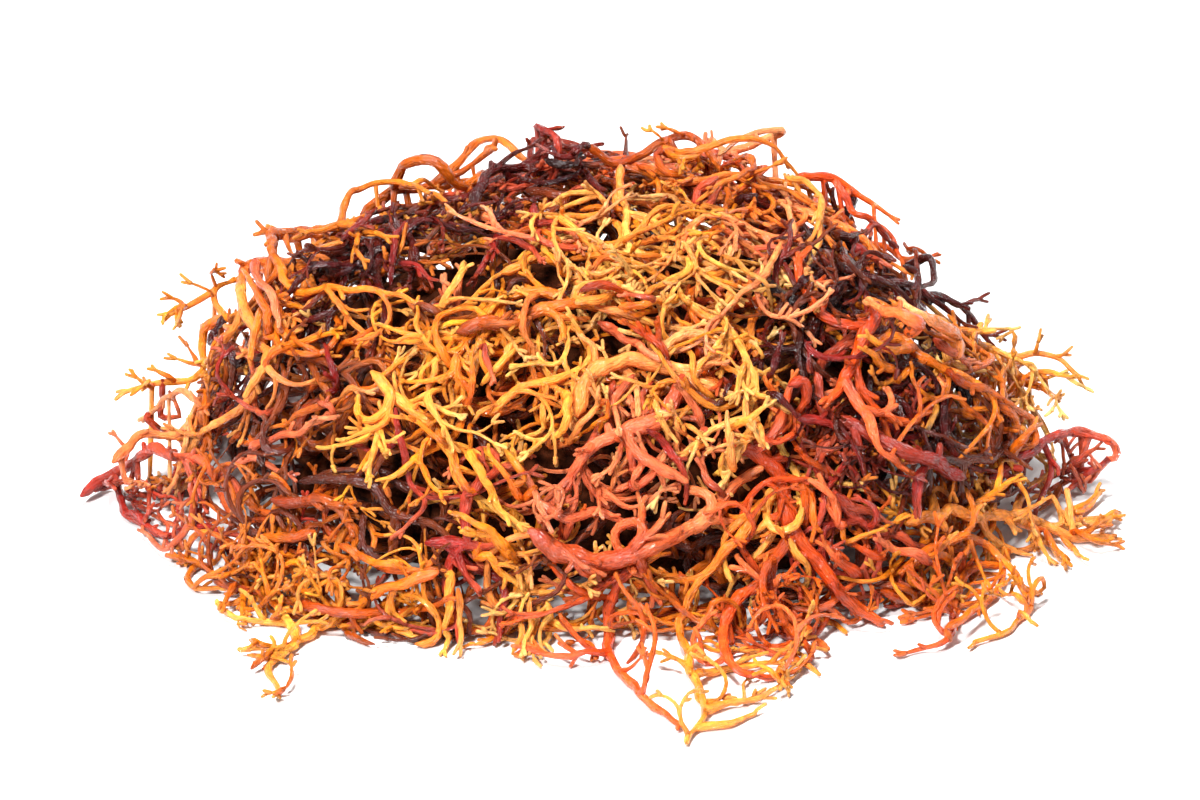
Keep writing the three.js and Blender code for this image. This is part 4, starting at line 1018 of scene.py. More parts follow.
rng = np.random.default_rng(11)


def linear(code):
    """A colour written in hex, as linear light."""
    value = np.array([int(code[i: i + 2], 16) / 255 for i in (0, 2, 4)])
    return np.where(value <= 0.04045, value / 12.92, ((value + 0.055) / 1.055) ** 2.4)


PALETTE = {slot: np.array([linear(code) for code in codes]) for slot, codes in COLOURS.items()}


def tinted(slot, ripeness):
    """A frond's colour from root (0) to tip (1)."""
    shades = PALETTE[slot]
    return np.stack([np.interp(ripeness, (0, 0.5, 1), shades[:, i]) for i in range(3)], -1)


def units(vectors):
    return vectors / np.maximum(np.sqrt((vectors**2).sum(-1, keepdims=True)), 1e-12)


def across_any(directions):
    """Some unit vectors square to the given ones."""
    helper = np.where(np.abs(directions[..., 2:]) < 0.8, [0.0, 0.0, 1.0], [1.0, 0.0, 0.0])
    return units(np.cross(directions, helper))


def smooth_noise(count, step, reach):
    """Smooth noise along a line of points: about -1 to 1, changing over the given reach."""
    values = rng.normal(0, NOISE_SPREAD, int(count * step / reach) + 4)
    at = np.arange(count) * step / reach + rng.random()
    i = at.astype(int)
    w = at - i
    w = w * w * (3 - 2 * w)
    return values[i] * (1 - w) + values[i + 1] * w


def tangents(points):
    t = np.empty_like(points)
    t[1:-1] = points[2:] - points[:-2]
    t[0], t[-1] = points[1] - points[0], points[-1] - points[-2]
    return units(t)


def make_strand(points, radii, slot, ripe, parent=None, layer="front"):
    return dict(points=points, radii=radii, slot=slot, ripe=ripe, parent=parent, layer=layer)


# How finely each layer is drawn: ring spacing in mm, sides of a thick and a thin strand, sides of a tip
FINENESS = {
    "front": dict(step=1.15, thick=7, thin=6, tip=5),
    "branch": dict(step=1.6, thick=6, thin=5, tip=5),
    "outer": dict(step=1.7, thick=6, thin=5, tip=4),
    "patch": dict(step=1.75, thick=6, thin=5, tip=4),
    "middle": dict(step=2.2, thick=5, thin=5, tip=4),
    "deep": dict(step=2.4, thick=5, thin=4, tip=4),
}
# How thick a fine strand is, as a share of the strand that it stands for
SLENDER = 0.76
STOUT = {"salmon_loop": 0.95, "salmon_cord": 0.95, "orange_keel": 0.95, "rose_bow": 0.85,
         "orange_sling": 0.95, "maroon_sling": 0.85, "amber_cross_stem": 0.85, "front_orange_bundle": 0.85,
         "gold_mesh": 0.85, "pale_left_comb": 0.9, "arches": 0.9, "thin": 1.0}
START_TAPER = 2.0
START_WIDTH = 0.45
FLARE = dict(share=0.92, reach=0.9, least=0.8)


def flared(radii, step, parent_radius):
    """A branch is nearly as wide as its parent where it leaves it, and narrows to its own width."""
    along = np.arange(len(radii)) * step
    reach = FLARE["reach"] * parent_radius + FLARE["least"]
    return radii + np.maximum(FLARE["share"] * parent_radius - radii[0], 0) * np.exp(-((along / reach) ** 2))


def tapered_start(width, step):
    """A strand that starts from nothing starts narrow."""
    along = np.minimum(np.arange(len(width)) * step / START_TAPER, 1)
    return width * (START_WIDTH + (1 - START_WIDTH) * along * (2 - along))


def waves(count, step, rule, start=0):
    """Smooth noises of several sizes and lengths, added up."""
    return sum((size * smooth_noise(count, step, reach) for size, reach in rule), start)


def resampled(line, t, count):
    """Evenly spaced points along a line, and where on it they are, from 0 to 1."""
    along = way_along(line)
    at = np.interp(np.linspace(0, along[-1], count), along, t)
    return np.stack([np.interp(at, t, line[:, i]) for i in range(3)], -1), at


def ripening(count, step, rule):
    """How ripe a strand is along its way: more so towards its tip."""
    size, reach = RIPE_DRIFT
    drift = size * smooth_noise(count, step, reach)
    return rule["start"] + rule["rise"] * np.linspace(0, 1, count) + drift + rule["chance"] * rng.normal()


def led_on(mother, root, width, ripe, step, gain):
    """A branch's width and ripeness, led on from its mother's where it leaves it."""
    start = mother["ripe"][root]
    ripe = np.linspace(start, max(start + gain, ripe[-1]), len(ripe))
    return flared(width, step, mother["radii"][root]), ripe


def fine_frond(frond, layer="front"):
    """A frond of the frame, drawn finely: each strand is a smooth, slightly wavering line of close points."""
    step = FINENESS[layer]["step"]
    stoutness = STOUT.get(frond["name"], SLENDER)
    fine = []
    for strand in frond["strands"]:
        points, radii = strand["points"].copy(), strand["radii"]
        mother = None
        if strand["parent"] is not None:
            k, spot = strand["parent"]
            mother = fine[k]
            share = spot / (len(frond["strands"][k]["points"]) - 1)
            root = int(round(share * (len(mother["points"]) - 1)))
            points[0] = mother["points"][root]
        length = steps_of(points).sum()
        count = max(FEWEST_POINTS, int(round(length / step)) + 1)
        t = np.linspace(0, 1, CURVE_POINTS)
        major = len(points) > 2
        if major:
            line = catmull_rom(points, t)
        else:
            side = across_any(points[1] - points[0])
            line = points[0] + (points[1] - points[0]) * t[:, None]
            line = line + side * (length * TWIG_BEND * rng.normal() * np.sin(math.pi * t) ** 2)[:, None]
        line, at = resampled(line, t, count)
        width = stoutness * np.interp(at * (len(points) - 1), np.arange(len(points)), radii)
        tangent = tangents(line)
        side = across_any(tangent)
        hold = np.minimum(np.arange(count) * step / SWAY_START, 1)
        size = 1.0 if major else TWIG_SWAY
        for direction in (side, np.cross(tangent, side)):
            line = line + direction * (size * hold * waves(count, step, SWAY))[:, None]
        width = width * waves(count, step, LUMPS, 1)
        ripe = ripening(count, step, FRAME_RIPE)
        if mother is not None:
            width, ripe = led_on(mother, root, width, ripe, step, FRAME_RIPE["gain"])
        else:
            width = tapered_start(width, step)
        line[:, 2] = np.maximum(line[:, 2], width + FLOOR_GAP)
        fine.append(make_strand(line, width, frond["colour"], ripe, None if mother is None else k, layer))
        fine[-1]["major"] = major
        if mother is not None:
            fine[-1]["mother"], fine[-1]["at"] = mother, root
    return fine


JOIN_GAP = 0.3
JOIN_REACH = 9.0


def joined(strand, others):
    """A strand that touches no other, led on to the nearest of them; None where that is too far off."""
    near = np.concatenate([s["points"] for s in others])
    width = np.concatenate([s["radii"] for s in others])
    line, step = strand["points"], FINENESS[strand["layer"]]["step"]
    gap = np.sqrt(((line[:, None] - near) ** 2).sum(-1)) - width - strand["radii"][:, None]
    if gap.min() < JOIN_GAP:
        return strand
    if gap[-1].min() < gap[0].min():
        line, gap = line[::-1], gap[::-1]
    at = gap[0].argmin()
    if gap[0, at] > JOIN_REACH:
        return None
    pieces = max(2, int(math.dist(near[at], line[0]) / step))
    bridge = near[at] + (line[0] - near[at]) * np.linspace(0, 1, pieces, endpoint=False)[:, None]
    strand["points"] = np.vstack([bridge, line])
    strand["radii"] = np.concatenate([np.full(pieces, strand["radii"][:3].max()), strand["radii"]])
    strand["ripe"] = np.concatenate([np.full(pieces, strand["ripe"][0]), strand["ripe"]])
    return strand


def thin_strands(others):
    """The thinner strands of the front, laid over the frame's fronds."""
    strands = []
    middle_x, middle_y = PICTURE_MIDDLE
    rows = [(slot, radius, line) for slot, sizes in THIN.items()
            for radius, lines in sizes.items() for line in lines]
    for slot, radius, line in rows:
        flat = flat_curve([((x - middle_x) * PICTURE_MM, (middle_y - y) * PICTURE_MM) for x, y in line],
                          THIN_STEP)
        radii = taper(len(flat), radius * rng.uniform(*THIN_GAIN))
        name = f"thin_{len(strands)}"
        points = lay_strand(name, FRONT_VIEW, flat, radii, None)
        if len(points) < 2:
            continue
        radii = radii[: len(points)]
        placed.remember(name, points, radii)
        strand = dict(points=points, radii=radii, parent=None)
        (drawn,) = fine_frond(dict(name="thin", colour=slot, strands=[strand]))
        drawn["node"] = "thin_" + slot
        drawn = joined(drawn, others + strands)
        if drawn is None:
            continue
        drawn["points"][:, 2] = np.minimum(drawn["points"][:, 2], cad_high[2] - drawn["radii"])
        strands.append(drawn)
    return strands


SCALE_ROUNDS = 5


def heap_scale(points):
    """The size of the heap, as a share of its full size, whose surface goes through each point.

    The powers 3, 2 and 1.5 are those of heap_level.
    """
    a = np.abs(points[..., 0] / HEAP[0]) ** 3
    b = (points[..., 1] / HEAP[1]) ** 2
    c = (np.maximum(points[..., 2], 0.01) / HEAP[2]) ** 1.5
    s = np.maximum(np.maximum(np.cbrt(a), np.sqrt(b)), c ** (2 / 3)) + 0.05
    for _ in range(SCALE_ROUNDS):
        value = a / s**3 + b / s**2 + c / s**1.5 - 1
        s = s + value / (3 * a / s**4 + 2 * b / s**3 + 1.5 * c / s**2.5)
    return s


def heap_outward(points):
    """The direction straight out of the heap at each point."""
    p = points / HEAP
    slope = np.stack([3 * p[..., 0] * np.abs(p[..., 0]), 2 * p[..., 1],
                      1.5 * np.sqrt(np.maximum(p[..., 2], 0.001))], -1) / HEAP
    return units(slope)


GROW_STEP = 1.6
# How strands grow: their slow waves in mm, how they lean and are held to their level, and what the floor does
GROWTH = dict(wave=(18, 44), lean=0.35, heap=80, slack=7, steepest=0.8, pull=0.35, near_floor=3.2, fall=0.2,
              jitter=0.11, keep=0.97, spin_drift=0.04, most_spin=0.32, lean_drift=0.09, lowest=1.2)


def grow(places, headings, lengths, levels, sway, curl):
    """Grows many strands at once. Each curls on its way and holds near its level in the heap."""
    rule = GROWTH
    count = len(places)
    most = int(lengths.max() / GROW_STEP) + 2
    out = np.empty((count, most, 3))
    p, d = places.copy(), units(headings)
    spin = curl * rng.choice([-1, 1], count)
    phase = rng.random(count) * 2 * math.pi
    wave = rng.uniform(*rule["wave"], count)
    lean = rng.normal(0, rule["lean"], (count, 3))
    for k in range(most):
        out[:, k] = p
        normal = heap_outward(p)
        axis = units(normal + lean)
        d = d + np.cross(axis, d) * (spin * GROW_STEP)[:, None]
        target = levels + sway * np.sin(2 * math.pi * k * GROW_STEP / wave + phase)
        off = (target - heap_scale(p)) * rule["heap"] / rule["slack"]
        off = np.clip(off, -rule["steepest"], rule["steepest"])
        d = d + normal * (rule["pull"] * (off - (d * normal).sum(1)))[:, None]
        low = (p[:, 2] < rule["near_floor"]) & (d[:, 2] < 0)
        d[low, 2] *= rule["fall"]
        d = units(d + rng.normal(0, rule["jitter"], (count, 3)))
        spin = spin * rule["keep"] + rng.normal(0, rule["spin_drift"], count)
        spin = np.clip(spin, -rule["most_spin"], rule["most_spin"])
        lean = lean * rule["keep"] + rng.normal(0, rule["lean_drift"], (count, 3))
        p = p + d * GROW_STEP
        p[:, 2] = np.maximum(p[:, 2], rule["lowest"])
    return [out[i, : max(3, int(lengths[i] / GROW_STEP) + 1)] for i in range(count)]


# Behind this depth in mm the colours mirror the front's, drawn in by a share
BACK_DEPTH = 25
BACK_SHARE = 0.8
LEAST_CHANCE = 0.05


def slot_at(place):
    """The colour of a frond that grows at a place in the heap, by what is common there."""
    right, upward = FRONT_VIEW[1:]
    across, up = (place - TARGET) @ right, (place - TARGET) @ upward
    if place[1] > BACK_DEPTH:
        across = -across * BACK_SHARE
    chance = np.array([sum(math.exp(-((across - a) ** 2 + (up - b) ** 2) / (2 * HAUNT_REACH**2))
                           for a, b in HAUNTS[slot]) for slot in SLOTS])
    chance = (chance + LEAST_CHANCE) * np.array([SHARES[slot] for slot in SLOTS])
    return SLOTS[rng.choice(len(SLOTS), p=chance / chance.sum())]


# The fronds that fill the heap, by layer: how many, the levels they hold, how far they sway in and out of
# them, the radius of the main strand, and its length
FILL = {
    "deep": dict(count=16, level=(0.69, 0.76), sway=0.02, radius=(1.1, 1.6), length=(60, 90)),
    "middle": dict(count=21, level=(0.76, 0.83), sway=0.03, radius=(0.9, 1.4), length=(45, 75)),
    "outer": dict(count=22, level=(0.82, 0.94), sway=0.05, radius=(0.75, 1.2), length=(34, 62)),
}
PLACING = dict(turn=0.12, rise=0.02, lowest=0.02, highest=0.985)
# The deep layer's colours, mostly dark umber: partly real dark fronds, partly painted shade deep in the heap.
DEEP_COLOURS = {"umber": 0.5, "maroon": 0.15, "amber": 0.25, "orange": 0.1}
# Patches of the front where some colours crowd: (across, up), reach, and how many fronds of each colour
PATCHES = [
    ((-48, 33), 9, {"maroon": 6, "umber": 2}), ((-60, 22), 8, {"maroon": 2, "amber": 2}),
    ((-8, 53), 5, {"maroon": 2, "rose": 1}), ((43, 14), 9, {"maroon": 5, "umber": 1, "rose": 1}),
    ((56, -3), 9, {"maroon": 4, "rose": 2}), ((62, 27), 8, {"maroon": 3}),
    ((-27, 5), 12, {"gold": 4, "pale": 4}), ((2, 38), 10, {"pale": 4, "gold": 2, "salmon": 1}),
    ((24, 28), 9, {"pale": 2, "salmon": 2, "gold": 1}), ((28, 5), 8, {"pale": 3, "gold": 1}),
    ((86, 4), 8, {"gold": 2, "pale": 3, "salmon": 1}), ((-62, -34), 10, {"gold": 3, "amber": 2}),
    ((-20, -42), 9, {"pale": 2, "gold": 1, "amber": 1}), ((35, -44), 10, {"orange": 3, "amber": 1}),
    ((84, -28), 9, {"gold": 2, "amber": 1}), ((-88, -4), 8, {"gold": 1, "amber": 1}),
    ((-66, -42), 9, {"amber": 3, "umber": 1}), ((-45, -46), 9, {"amber": 2, "gold": 2}),
    ((-82, -30), 8, {"amber": 2, "gold": 1}), ((10, -48), 9, {"orange": 2, "amber": 1}),
    ((62, -42), 9, {"amber": 1, "orange": 1}), ((76, 3), 8, {"amber": 3, "pale": 1}),
    ((-84, 6), 8, {"amber": 2, "umber": 1}), ((-70, -27), 7, {"umber": 3, "amber": 1}),
]
# Patches of dark fronds that close the view through the heap to the floor; their darkness is partly painted
# shade under the heap
GAPS = [((-75, -12), 7, {"umber": 2, "rose": 1}), ((-28, -47), 6, {"umber": 2})]
PATCH = dict(level=(0.84, 0.9), sway=0.04, radius=(0.75, 1.0), length=(20, 36))
PATCH_SPREAD = 0.5
PATCH_RADIUS = 0.8
# The fronds round the foot of the heap's back
SKIRT = dict(sway=0.03, radius=(0.8, 1.2), length=(34, 50), count=11, ends=0.15, jitter=0.05,
             level=(0.76, 0.86), rise=(0.03, 0.1))
SKIRT_COLOURS = {"umber": 0.4, "amber": 0.3, "orange": 0.2, "rose": 0.1}
# How common each colour is
SHARES = {"pale": 1.0, "gold": 1.4, "amber": 1.6, "orange": 1.5, "salmon": 1.1, "rose": 0.6, "maroon": 0.9,
          "umber": 0.5}
# Filling fronds before this depth in mm stay under the traced ones
FORE_DEPTH = 10
FRONT_LEVEL = 0.85
FRONT_SPREAD = 0.04
# How filling fronds branch, twice over
BRANCHING = dict(spacing=(11.0, 8.0), lengths=((12, 34), (5, 14)), first=3, gap=(0.6, 1.5), turn=(0.5, 1.0),
                 lift=0.35, room=(8, 0.8), longest=0.6, width=(0.68, 0.88), drift=0.02, levels=(0.54, 0.97),
                 curl=(0.03, 0.22), narrowing=0.35)
# How the frame's fronds branch, and how those branches do
SPRIGS = dict(first=(2, 9), gap=(10, 20), width=(0.6, 0.85), lengths=(9, 28), turn=(0.4, 0.95),
              sunk=(0, 0.06), levels=(0.6, 0.99), sway=0.03, curl=(0.05, 0.28), radius=(0.5, 1.35),
              narrowing=0.3)
SIDE_SPRIGS = dict(first=(3, 7), gap=(7, 13), width=0.82, lengths=(4, 11))


def patch_fronds(patches):
    """The fronds of patches of the front."""
    places, slots = [], []
    for (across, up), reach, colours in patches:
        for slot, count in colours.items():
            for _ in range(count):
                flat = np.array([across, up]) + reach * rng.normal(0, PATCH_SPREAD, 2)
                sight, far = on_bed(FRONT_VIEW, flat[0], flat[1], PATCH_RADIUS)
                places.append(FRONT_VIEW[0] + sight * far)
                slots.append(slot)
    places = np.array(places)
    return grown_fronds("patch", PATCH, places, rng.uniform(*PATCH["level"], len(places)), slots)


def drawn_colours(shares, count):
    return rng.choice(list(shares), count, p=list(shares.values()))


def skirt_fronds():
    """Fronds round the foot of the heap's back."""
    count = SKIRT["count"]
    turn = np.linspace(SKIRT["ends"], math.pi - SKIRT["ends"], count) + rng.normal(0, SKIRT["jitter"], count)
    level = rng.uniform(*SKIRT["level"], count)
    slots = drawn_colours(SKIRT_COLOURS, count)
    places = on_heap(turn, rng.uniform(*SKIRT["rise"], count), level)
    return grown_fronds("outer", SKIRT, places, level, slots)


def fill_fronds(layer):
    """The fronds of one layer of the heap. The deep ones have darker colours of their own: partly the fronds'
    own dark colours, partly painted shade deep in the heap.
    """
    rule = FILL[layer]
    count = rule["count"]
    k = np.arange(count)
    turn = k * GOLDEN_ANGLE + rng.normal(0, PLACING["turn"], count)
    rise = (k + 0.5) / count + rng.normal(0, PLACING["rise"], count)
    rise = np.arcsin(np.clip(rise, PLACING["lowest"], PLACING["highest"]))
    level = rng.uniform(*rule["level"], count)
    places = on_heap(turn, rise, level)
    fore = (places[:, 1] < FORE_DEPTH) & (level > FRONT_LEVEL)
    level[fore] = FRONT_LEVEL - FRONT_SPREAD * rng.random(fore.sum())
    places = on_heap(turn, rise, level)
    # The deep layer draws these colours too, and then takes its own, so that later draws stay as they are
    slots = np.array([slot_at(place) for place in places])
    if layer == "deep":
        slots = drawn_colours(DEEP_COLOURS, count)
    return grown_fronds(layer, rule, places, level, slots)


def narrowed(radius, share, count):
    """Radii that narrow by a share from root to tip."""
    return radius * (1 - share * np.linspace(0, 1, count) ** TIP_POWER)


def grown_fronds(layer, rule, places, level, slots):
    """Fronds from places on the heap: a main strand each, branches, and branches of those."""
    count = len(places)
    owner = np.arange(count)
    radius = rng.uniform(*rule["radius"], count)
    lengths = rng.uniform(*rule["length"], count)
    headings = np.cross(heap_outward(places), rng.normal(size=(count, 3)))
    parent = np.full(count, -1)
    root = np.zeros(count, int)
    strands = []
    for depth in range(3):
        curl = rng.uniform(*BRANCHING["curl"], len(places))
        lines = grow(places, headings, lengths, level, rule["sway"], curl)
        base = len(strands)
        for i, line in enumerate(lines):
            radii = narrowed(radius[i], BRANCHING["narrowing"], len(line))
            strands.append(dict(points=line, radii=radii, parent=int(parent[i]), root=int(root[i]),
                                slot=slots[owner[i]], layer=layer))
        if depth == 2:
            break
        spacing = BRANCHING["spacing"][depth]
        picks = []
        for i, line in enumerate(lines):
            at = BRANCHING["first"] + rng.random() * spacing / GROW_STEP
            while at < len(line) - 1:
                picks.append((i, int(at)))
                at += spacing / GROW_STEP * rng.uniform(*BRANCHING["gap"])
        owners, spots = np.array([i for i, at in picks]), np.array([at for i, at in picks])
        places = np.array([lines[i][at] for i, at in picks])
        ahead = np.array([lines[i][min(at + 1, len(lines[i]) - 1)] - lines[i][at - 1] for i, at in picks])
        normal = heap_outward(places)
        side = np.cross(units(ahead), normal) * rng.choice([-1, 1], len(picks))[:, None]
        angle = rng.uniform(*BRANCHING["turn"], len(picks))[:, None]
        lifted = units(side + normal * rng.normal(0, BRANCHING["lift"], (len(picks), 1)))
        headings = units(ahead) * np.cos(angle) + lifted * np.sin(angle)
        left = np.array([(len(lines[i]) - at) * GROW_STEP for i, at in picks])
        least, share = BRANCHING["room"]
        lengths = np.minimum(rng.uniform(*BRANCHING["lengths"][depth], len(picks)), least + share * left)
        lengths = np.minimum(lengths, rule["length"][1] * BRANCHING["longest"])
        radius = np.array([strands[base + i]["radii"][at] for i, at in picks])
        radius = radius * rng.uniform(*BRANCHING["width"], len(picks))
        parent, root = base + owners, spots
        owner = owner[owners]
        level = np.clip(level[owners] + rng.normal(0, BRANCHING["drift"], len(picks)), *BRANCHING["levels"])
    return strands


def branches_of(fronds_drawn):
    """Curling branches on the drawn strands of the frame's fronds, and shorter ones on those."""
    step = FINENESS["front"]["step"]
    picks = []
    for s in fronds_drawn:
        if not s["major"]:
            continue
        at = rng.uniform(*SPRIGS["first"]) / step
        while at < len(s["points"]) - 2:
            picks.append((s, int(at)))
            at += rng.uniform(*SPRIGS["gap"]) / step
    strands = []
    radius = np.array([s["radii"][at] for s, at in picks]) * rng.uniform(*SPRIGS["width"], len(picks))
    places = np.array([s["points"][at] for s, at in picks])
    ahead = units(np.array([s["points"][at + 1] - s["points"][at - 1] for s, at in picks]))
    lengths = rng.uniform(*SPRIGS["lengths"], len(picks))
    for depth in range(2):
        side = units(rng.normal(size=(len(places), 3)))
        side = units(side - (side * ahead).sum(1, keepdims=True) * ahead)
        angle = rng.uniform(*SPRIGS["turn"], len(places))[:, None]
        headings = ahead * np.cos(angle) + side * np.sin(angle)
        levels = np.clip(heap_scale(places) - rng.uniform(*SPRIGS["sunk"], len(places)), *SPRIGS["levels"])
        curl = rng.uniform(*SPRIGS["curl"], len(places))
        lines = grow(places, headings, lengths, levels, SPRIGS["sway"], curl)
        base = len(strands)
        for i, line in enumerate(lines):
            radii = narrowed(np.clip(radius[i], *SPRIGS["radius"]), SPRIGS["narrowing"], len(line))
            strand = dict(points=line, radii=radii, parent=-1, root=0, layer="branch")
            if depth == 0:
                mother, at = picks[i]
                strand.update(mother=mother, at=at)
            else:
                mother = strands[owners[i]]
                strand.update(parent=owners[i], root=spots[i])
            strands.append({**strand, "slot": mother["slot"], "node": mother["node"]})
        if depth:
            break
        owners, spots = [], []
        for i, line in enumerate(lines):
            at = rng.uniform(*SIDE_SPRIGS["first"]) / GROW_STEP
            while at < len(line) - 2:
                owners.append(base + i)
                spots.append(int(at))
                at += rng.uniform(*SIDE_SPRIGS["gap"]) / GROW_STEP
        pairs = list(zip(owners, spots))
        places = np.array([lines[i - base][at] for i, at in pairs])
        ahead = units(np.array([lines[i - base][at + 1] - lines[i - base][at - 1] for i, at in pairs]))
        radius = np.array([strands[i]["radii"][at] for i, at in pairs]) * SIDE_SPRIGS["width"]
        lengths = rng.uniform(*SIDE_SPRIGS["lengths"], len(owners))
    return strands


# The cells that nearby points are looked up in
CELL_SHIFT = 100
CELL_SPAN = 256


def close_pairs(points, reach):
    """Every pair of points nearer to each other than the reach."""
    cell = np.floor(points / reach).astype(np.int64) + CELL_SHIFT
    key = (cell[:, 0] * CELL_SPAN + cell[:, 1]) * CELL_SPAN + cell[:, 2]
    order = np.argsort(key, kind="stable")
    ranked = key[order]
    firsts, seconds = [], []
    for shift in range(27):
        wanted = key + ((shift // 9 - 1) * CELL_SPAN + shift // 3 % 3 - 1) * CELL_SPAN + shift % 3 - 1
        low = np.searchsorted(ranked, wanted, "left")
        many = np.searchsorted(ranked, wanted, "right") - low
        i = np.repeat(np.arange(len(points)), many)
        j = order[np.repeat(low, many) + np.arange(many.sum()) - np.repeat(np.cumsum(many) - many, many)]
        near = (i < j) & (((points[i] - points[j]) ** 2).sum(1) < reach**2)
        firsts.append(i[near])
        seconds.append(j[near])
    return np.concatenate(firsts), np.concatenate(seconds)


RELAX_ROUNDS = 20
PAIR_ROUNDS = 5
PAIR_REACH = 5.5
# How the filling settles, in mm and shares. Neighbours on one strand and points near a root don't push
# each other.
SETTLING = dict(neighbours=5, root_points=3, box_room=0.6, air=0.05, longest=1.0, push=0.6, springs=2,
                spring=0.45, down=0.8, forward=0.3)


def settle(strands, fixed, fixed_radii):
    """Moves the filling strands apart, and clear of the fixed ones, while each keeps its shape."""
    counts = np.array([len(s["points"]) for s in strands])
    starts = np.cumsum(counts) - counts
    x = np.concatenate([s["points"] for s in strands])
    r = np.concatenate([s["radii"] for s in strands])
    own = np.repeat(np.arange(len(strands)), counts)
    along = np.arange(len(x)) - starts[own]
    parents = np.array([s["parent"] for s in strands])
    parent = parents[own]
    inner = np.flatnonzero((along > 0) & (along < counts[own] - 1))
    bend = x[inner] - (x[inner - 1] + x[inner + 1]) / 2
    branches = np.flatnonzero(parents >= 0)
    roots = starts[branches]
    holds = starts[parents[branches]] + np.array([strands[b]["root"] for b in branches])
    hung = np.array([k for k, s in enumerate(strands) if "mother" in s])
    pins = starts[hung]
    pinned = np.array([strands[k]["mother"]["points"][strands[k]["at"]] for k in hung])
    hanging = np.zeros(len(x), bool)
    for k in hung:
        hanging[starts[k]: starts[k] + SETTLING["root_points"]] = True
    n = len(x)
    front_right, front_up = FRONT_VIEW[1:]
    radii = np.concatenate([r, fixed_radii])
    low = cad_low + r[:, None] + SETTLING["box_room"]
    high = cad_high - r[:, None] - SETTLING["box_room"]
    low[:, 2] = r + FLOOR_GAP
    for round_ in range(RELAX_ROUNDS):
        everything = np.concatenate([x, fixed])
        if round_ % PAIR_ROUNDS == 0:
            i, j = close_pairs(everything, PAIR_REACH)
            keep = i < n
            i, j = i[keep], j[keep]
            free = j < n
            a, b = i, np.where(free, j, 0)
            a_rooted, b_rooted = along[a] < SETTLING["root_points"], along[b] < SETTLING["root_points"]
            kin = (own[a] == own[b]) & (np.abs(along[a] - along[b]) < SETTLING["neighbours"])
            kin |= (parent[a] == own[b]) & a_rooted
            kin |= (parent[b] == own[a]) & b_rooted
            kin |= (parent[a] == parent[b]) & (parent[a] >= 0) & a_rooted & b_rooted
            keep = ~(kin & free) & ~(hanging[i] & ~free)
            i, j = i[keep], j[keep]
        apart = everything[i] - everything[j]
        away = np.sqrt((apart**2).sum(1)) + 1e-9
        gap = radii[i] + radii[j] + SETTLING["air"] - away
        hit = gap > 0
        push = apart[hit] / away[hit, None] * gap[hit, None]
        share = np.where(j[hit] < n, 0.5, 1.0)[:, None]
        move = np.zeros_like(everything)
        for axis in range(3):
            move[:, axis] += np.bincount(i[hit], (push * share)[:, axis], len(move))
            move[:, axis] -= np.bincount(j[hit], (push * share)[:, axis], len(move))
        move = move[:n]
        size = np.sqrt((move**2).sum(1, keepdims=True)) + 1e-9
        x = x + move / size * np.minimum(size, SETTLING["longest"]) * SETTLING["push"]
        for _ in range(SETTLING["springs"]):
            x[inner] += SETTLING["spring"] * ((x[inner - 1] + x[inner + 1]) / 2 + bend - x[inner])
            x[pins] = pinned
            x[roots] = x[holds]
        over = np.maximum((x - TARGET) @ front_up - np.interp((x - TARGET) @ front_right, *CREST.T), 0)
        x[:, 2] -= over * SETTLING["down"]
        x[:, 1] -= over * SETTLING["forward"]
        x = np.clip(x, low, high)
    x[pins] = pinned
    x[roots] = x[holds]
    for s, start, count in zip(strands, starts, counts):
        s["points"] = x[start: start + count]
    return strands


def fine_fill(strands):
    """The filling strands, drawn finely."""
    fine = []
    for s in strands:
        step = FINENESS[s["layer"]]["step"]
        points = s["points"].copy()
        mother = fine[s["parent"]] if s["parent"] >= 0 else s.get("mother")
        count = max(FEWEST_POINTS, int(round(steps_of(points).sum() / step)) + 1)
        t = np.linspace(0, 1, 3 * len(points))
        line, at = resampled(catmull_rom(points, t), t, count)
        width = np.interp(at * (len(points) - 1), np.arange(len(points)), s["radii"])
        width = width * waves(count, step, LUMPS, 1)
        ripe = ripening(count, step, FILL_RIPE)
        if mother is not None:
            root = s.get("at")
            if root is None:
                share = s["root"] / (len(strands[s["parent"]]["points"]) - 1)
                root = int(round(share * (len(mother["points"]) - 1)))
            width, ripe = led_on(mother, root, width, ripe, step, FILL_RIPE["gain"])
        else:
            width = tapered_start(width, step)
        fine.append(make_strand(line, width, s["slot"], ripe, None if mother is None else 0, s["layer"]))
        if mother is not None:
            fine[-1]["mother"], fine[-1]["at"] = mother, root
        fine[-1]["node"] = s.get("node")
    return fine


BOX_ROOM = 1.2
SPROUT_WAY = np.linspace(0, 1, 5)
SPROUT_NARROWING = 0.2
SHOOT = dict(slant=(0.6, 1.25), length=(0.6, 2.2), turn=(0.4, 0.6), stray=0.5, bend=0.3, width=(0.6, 0.85),
             radius=(0.5, 1.1), foot=0.8, fall=4, gain=0.35, shortest=7, first=3)
PRONG = dict(threes=0.3, roll=0.35, slant=(0.25, 0.7), length=(1.2, 3.2), width=(0.78, 0.98),
             radius=(0.52, 1.3), side=0.35, stray=0.2, sunk=0.3, ahead=0.25, turn_back=0.6, foot=0.9, fall=5,
             gain=0.3, mother=(0.5, 2), usual=0.9)


def inside_box(points, radii):
    """Whether a small shoot stays over the ground and about inside the frame's box."""
    most = radii.max()
    low, high = points.min(0) - most, points.max(0) + most
    return low[2] > 0 and (low > cad_low - BOX_ROOM)[:2].all() and (high < cad_high + BOX_ROOM).all()


def turned(ahead, roll, slant):
    """Directions that slant away from the given ones, rolled about them."""
    side = across_any(ahead)
    side = side * np.cos(roll) + np.cross(ahead, side) * np.sin(roll)
    return ahead * np.cos(slant) + side * np.sin(slant)


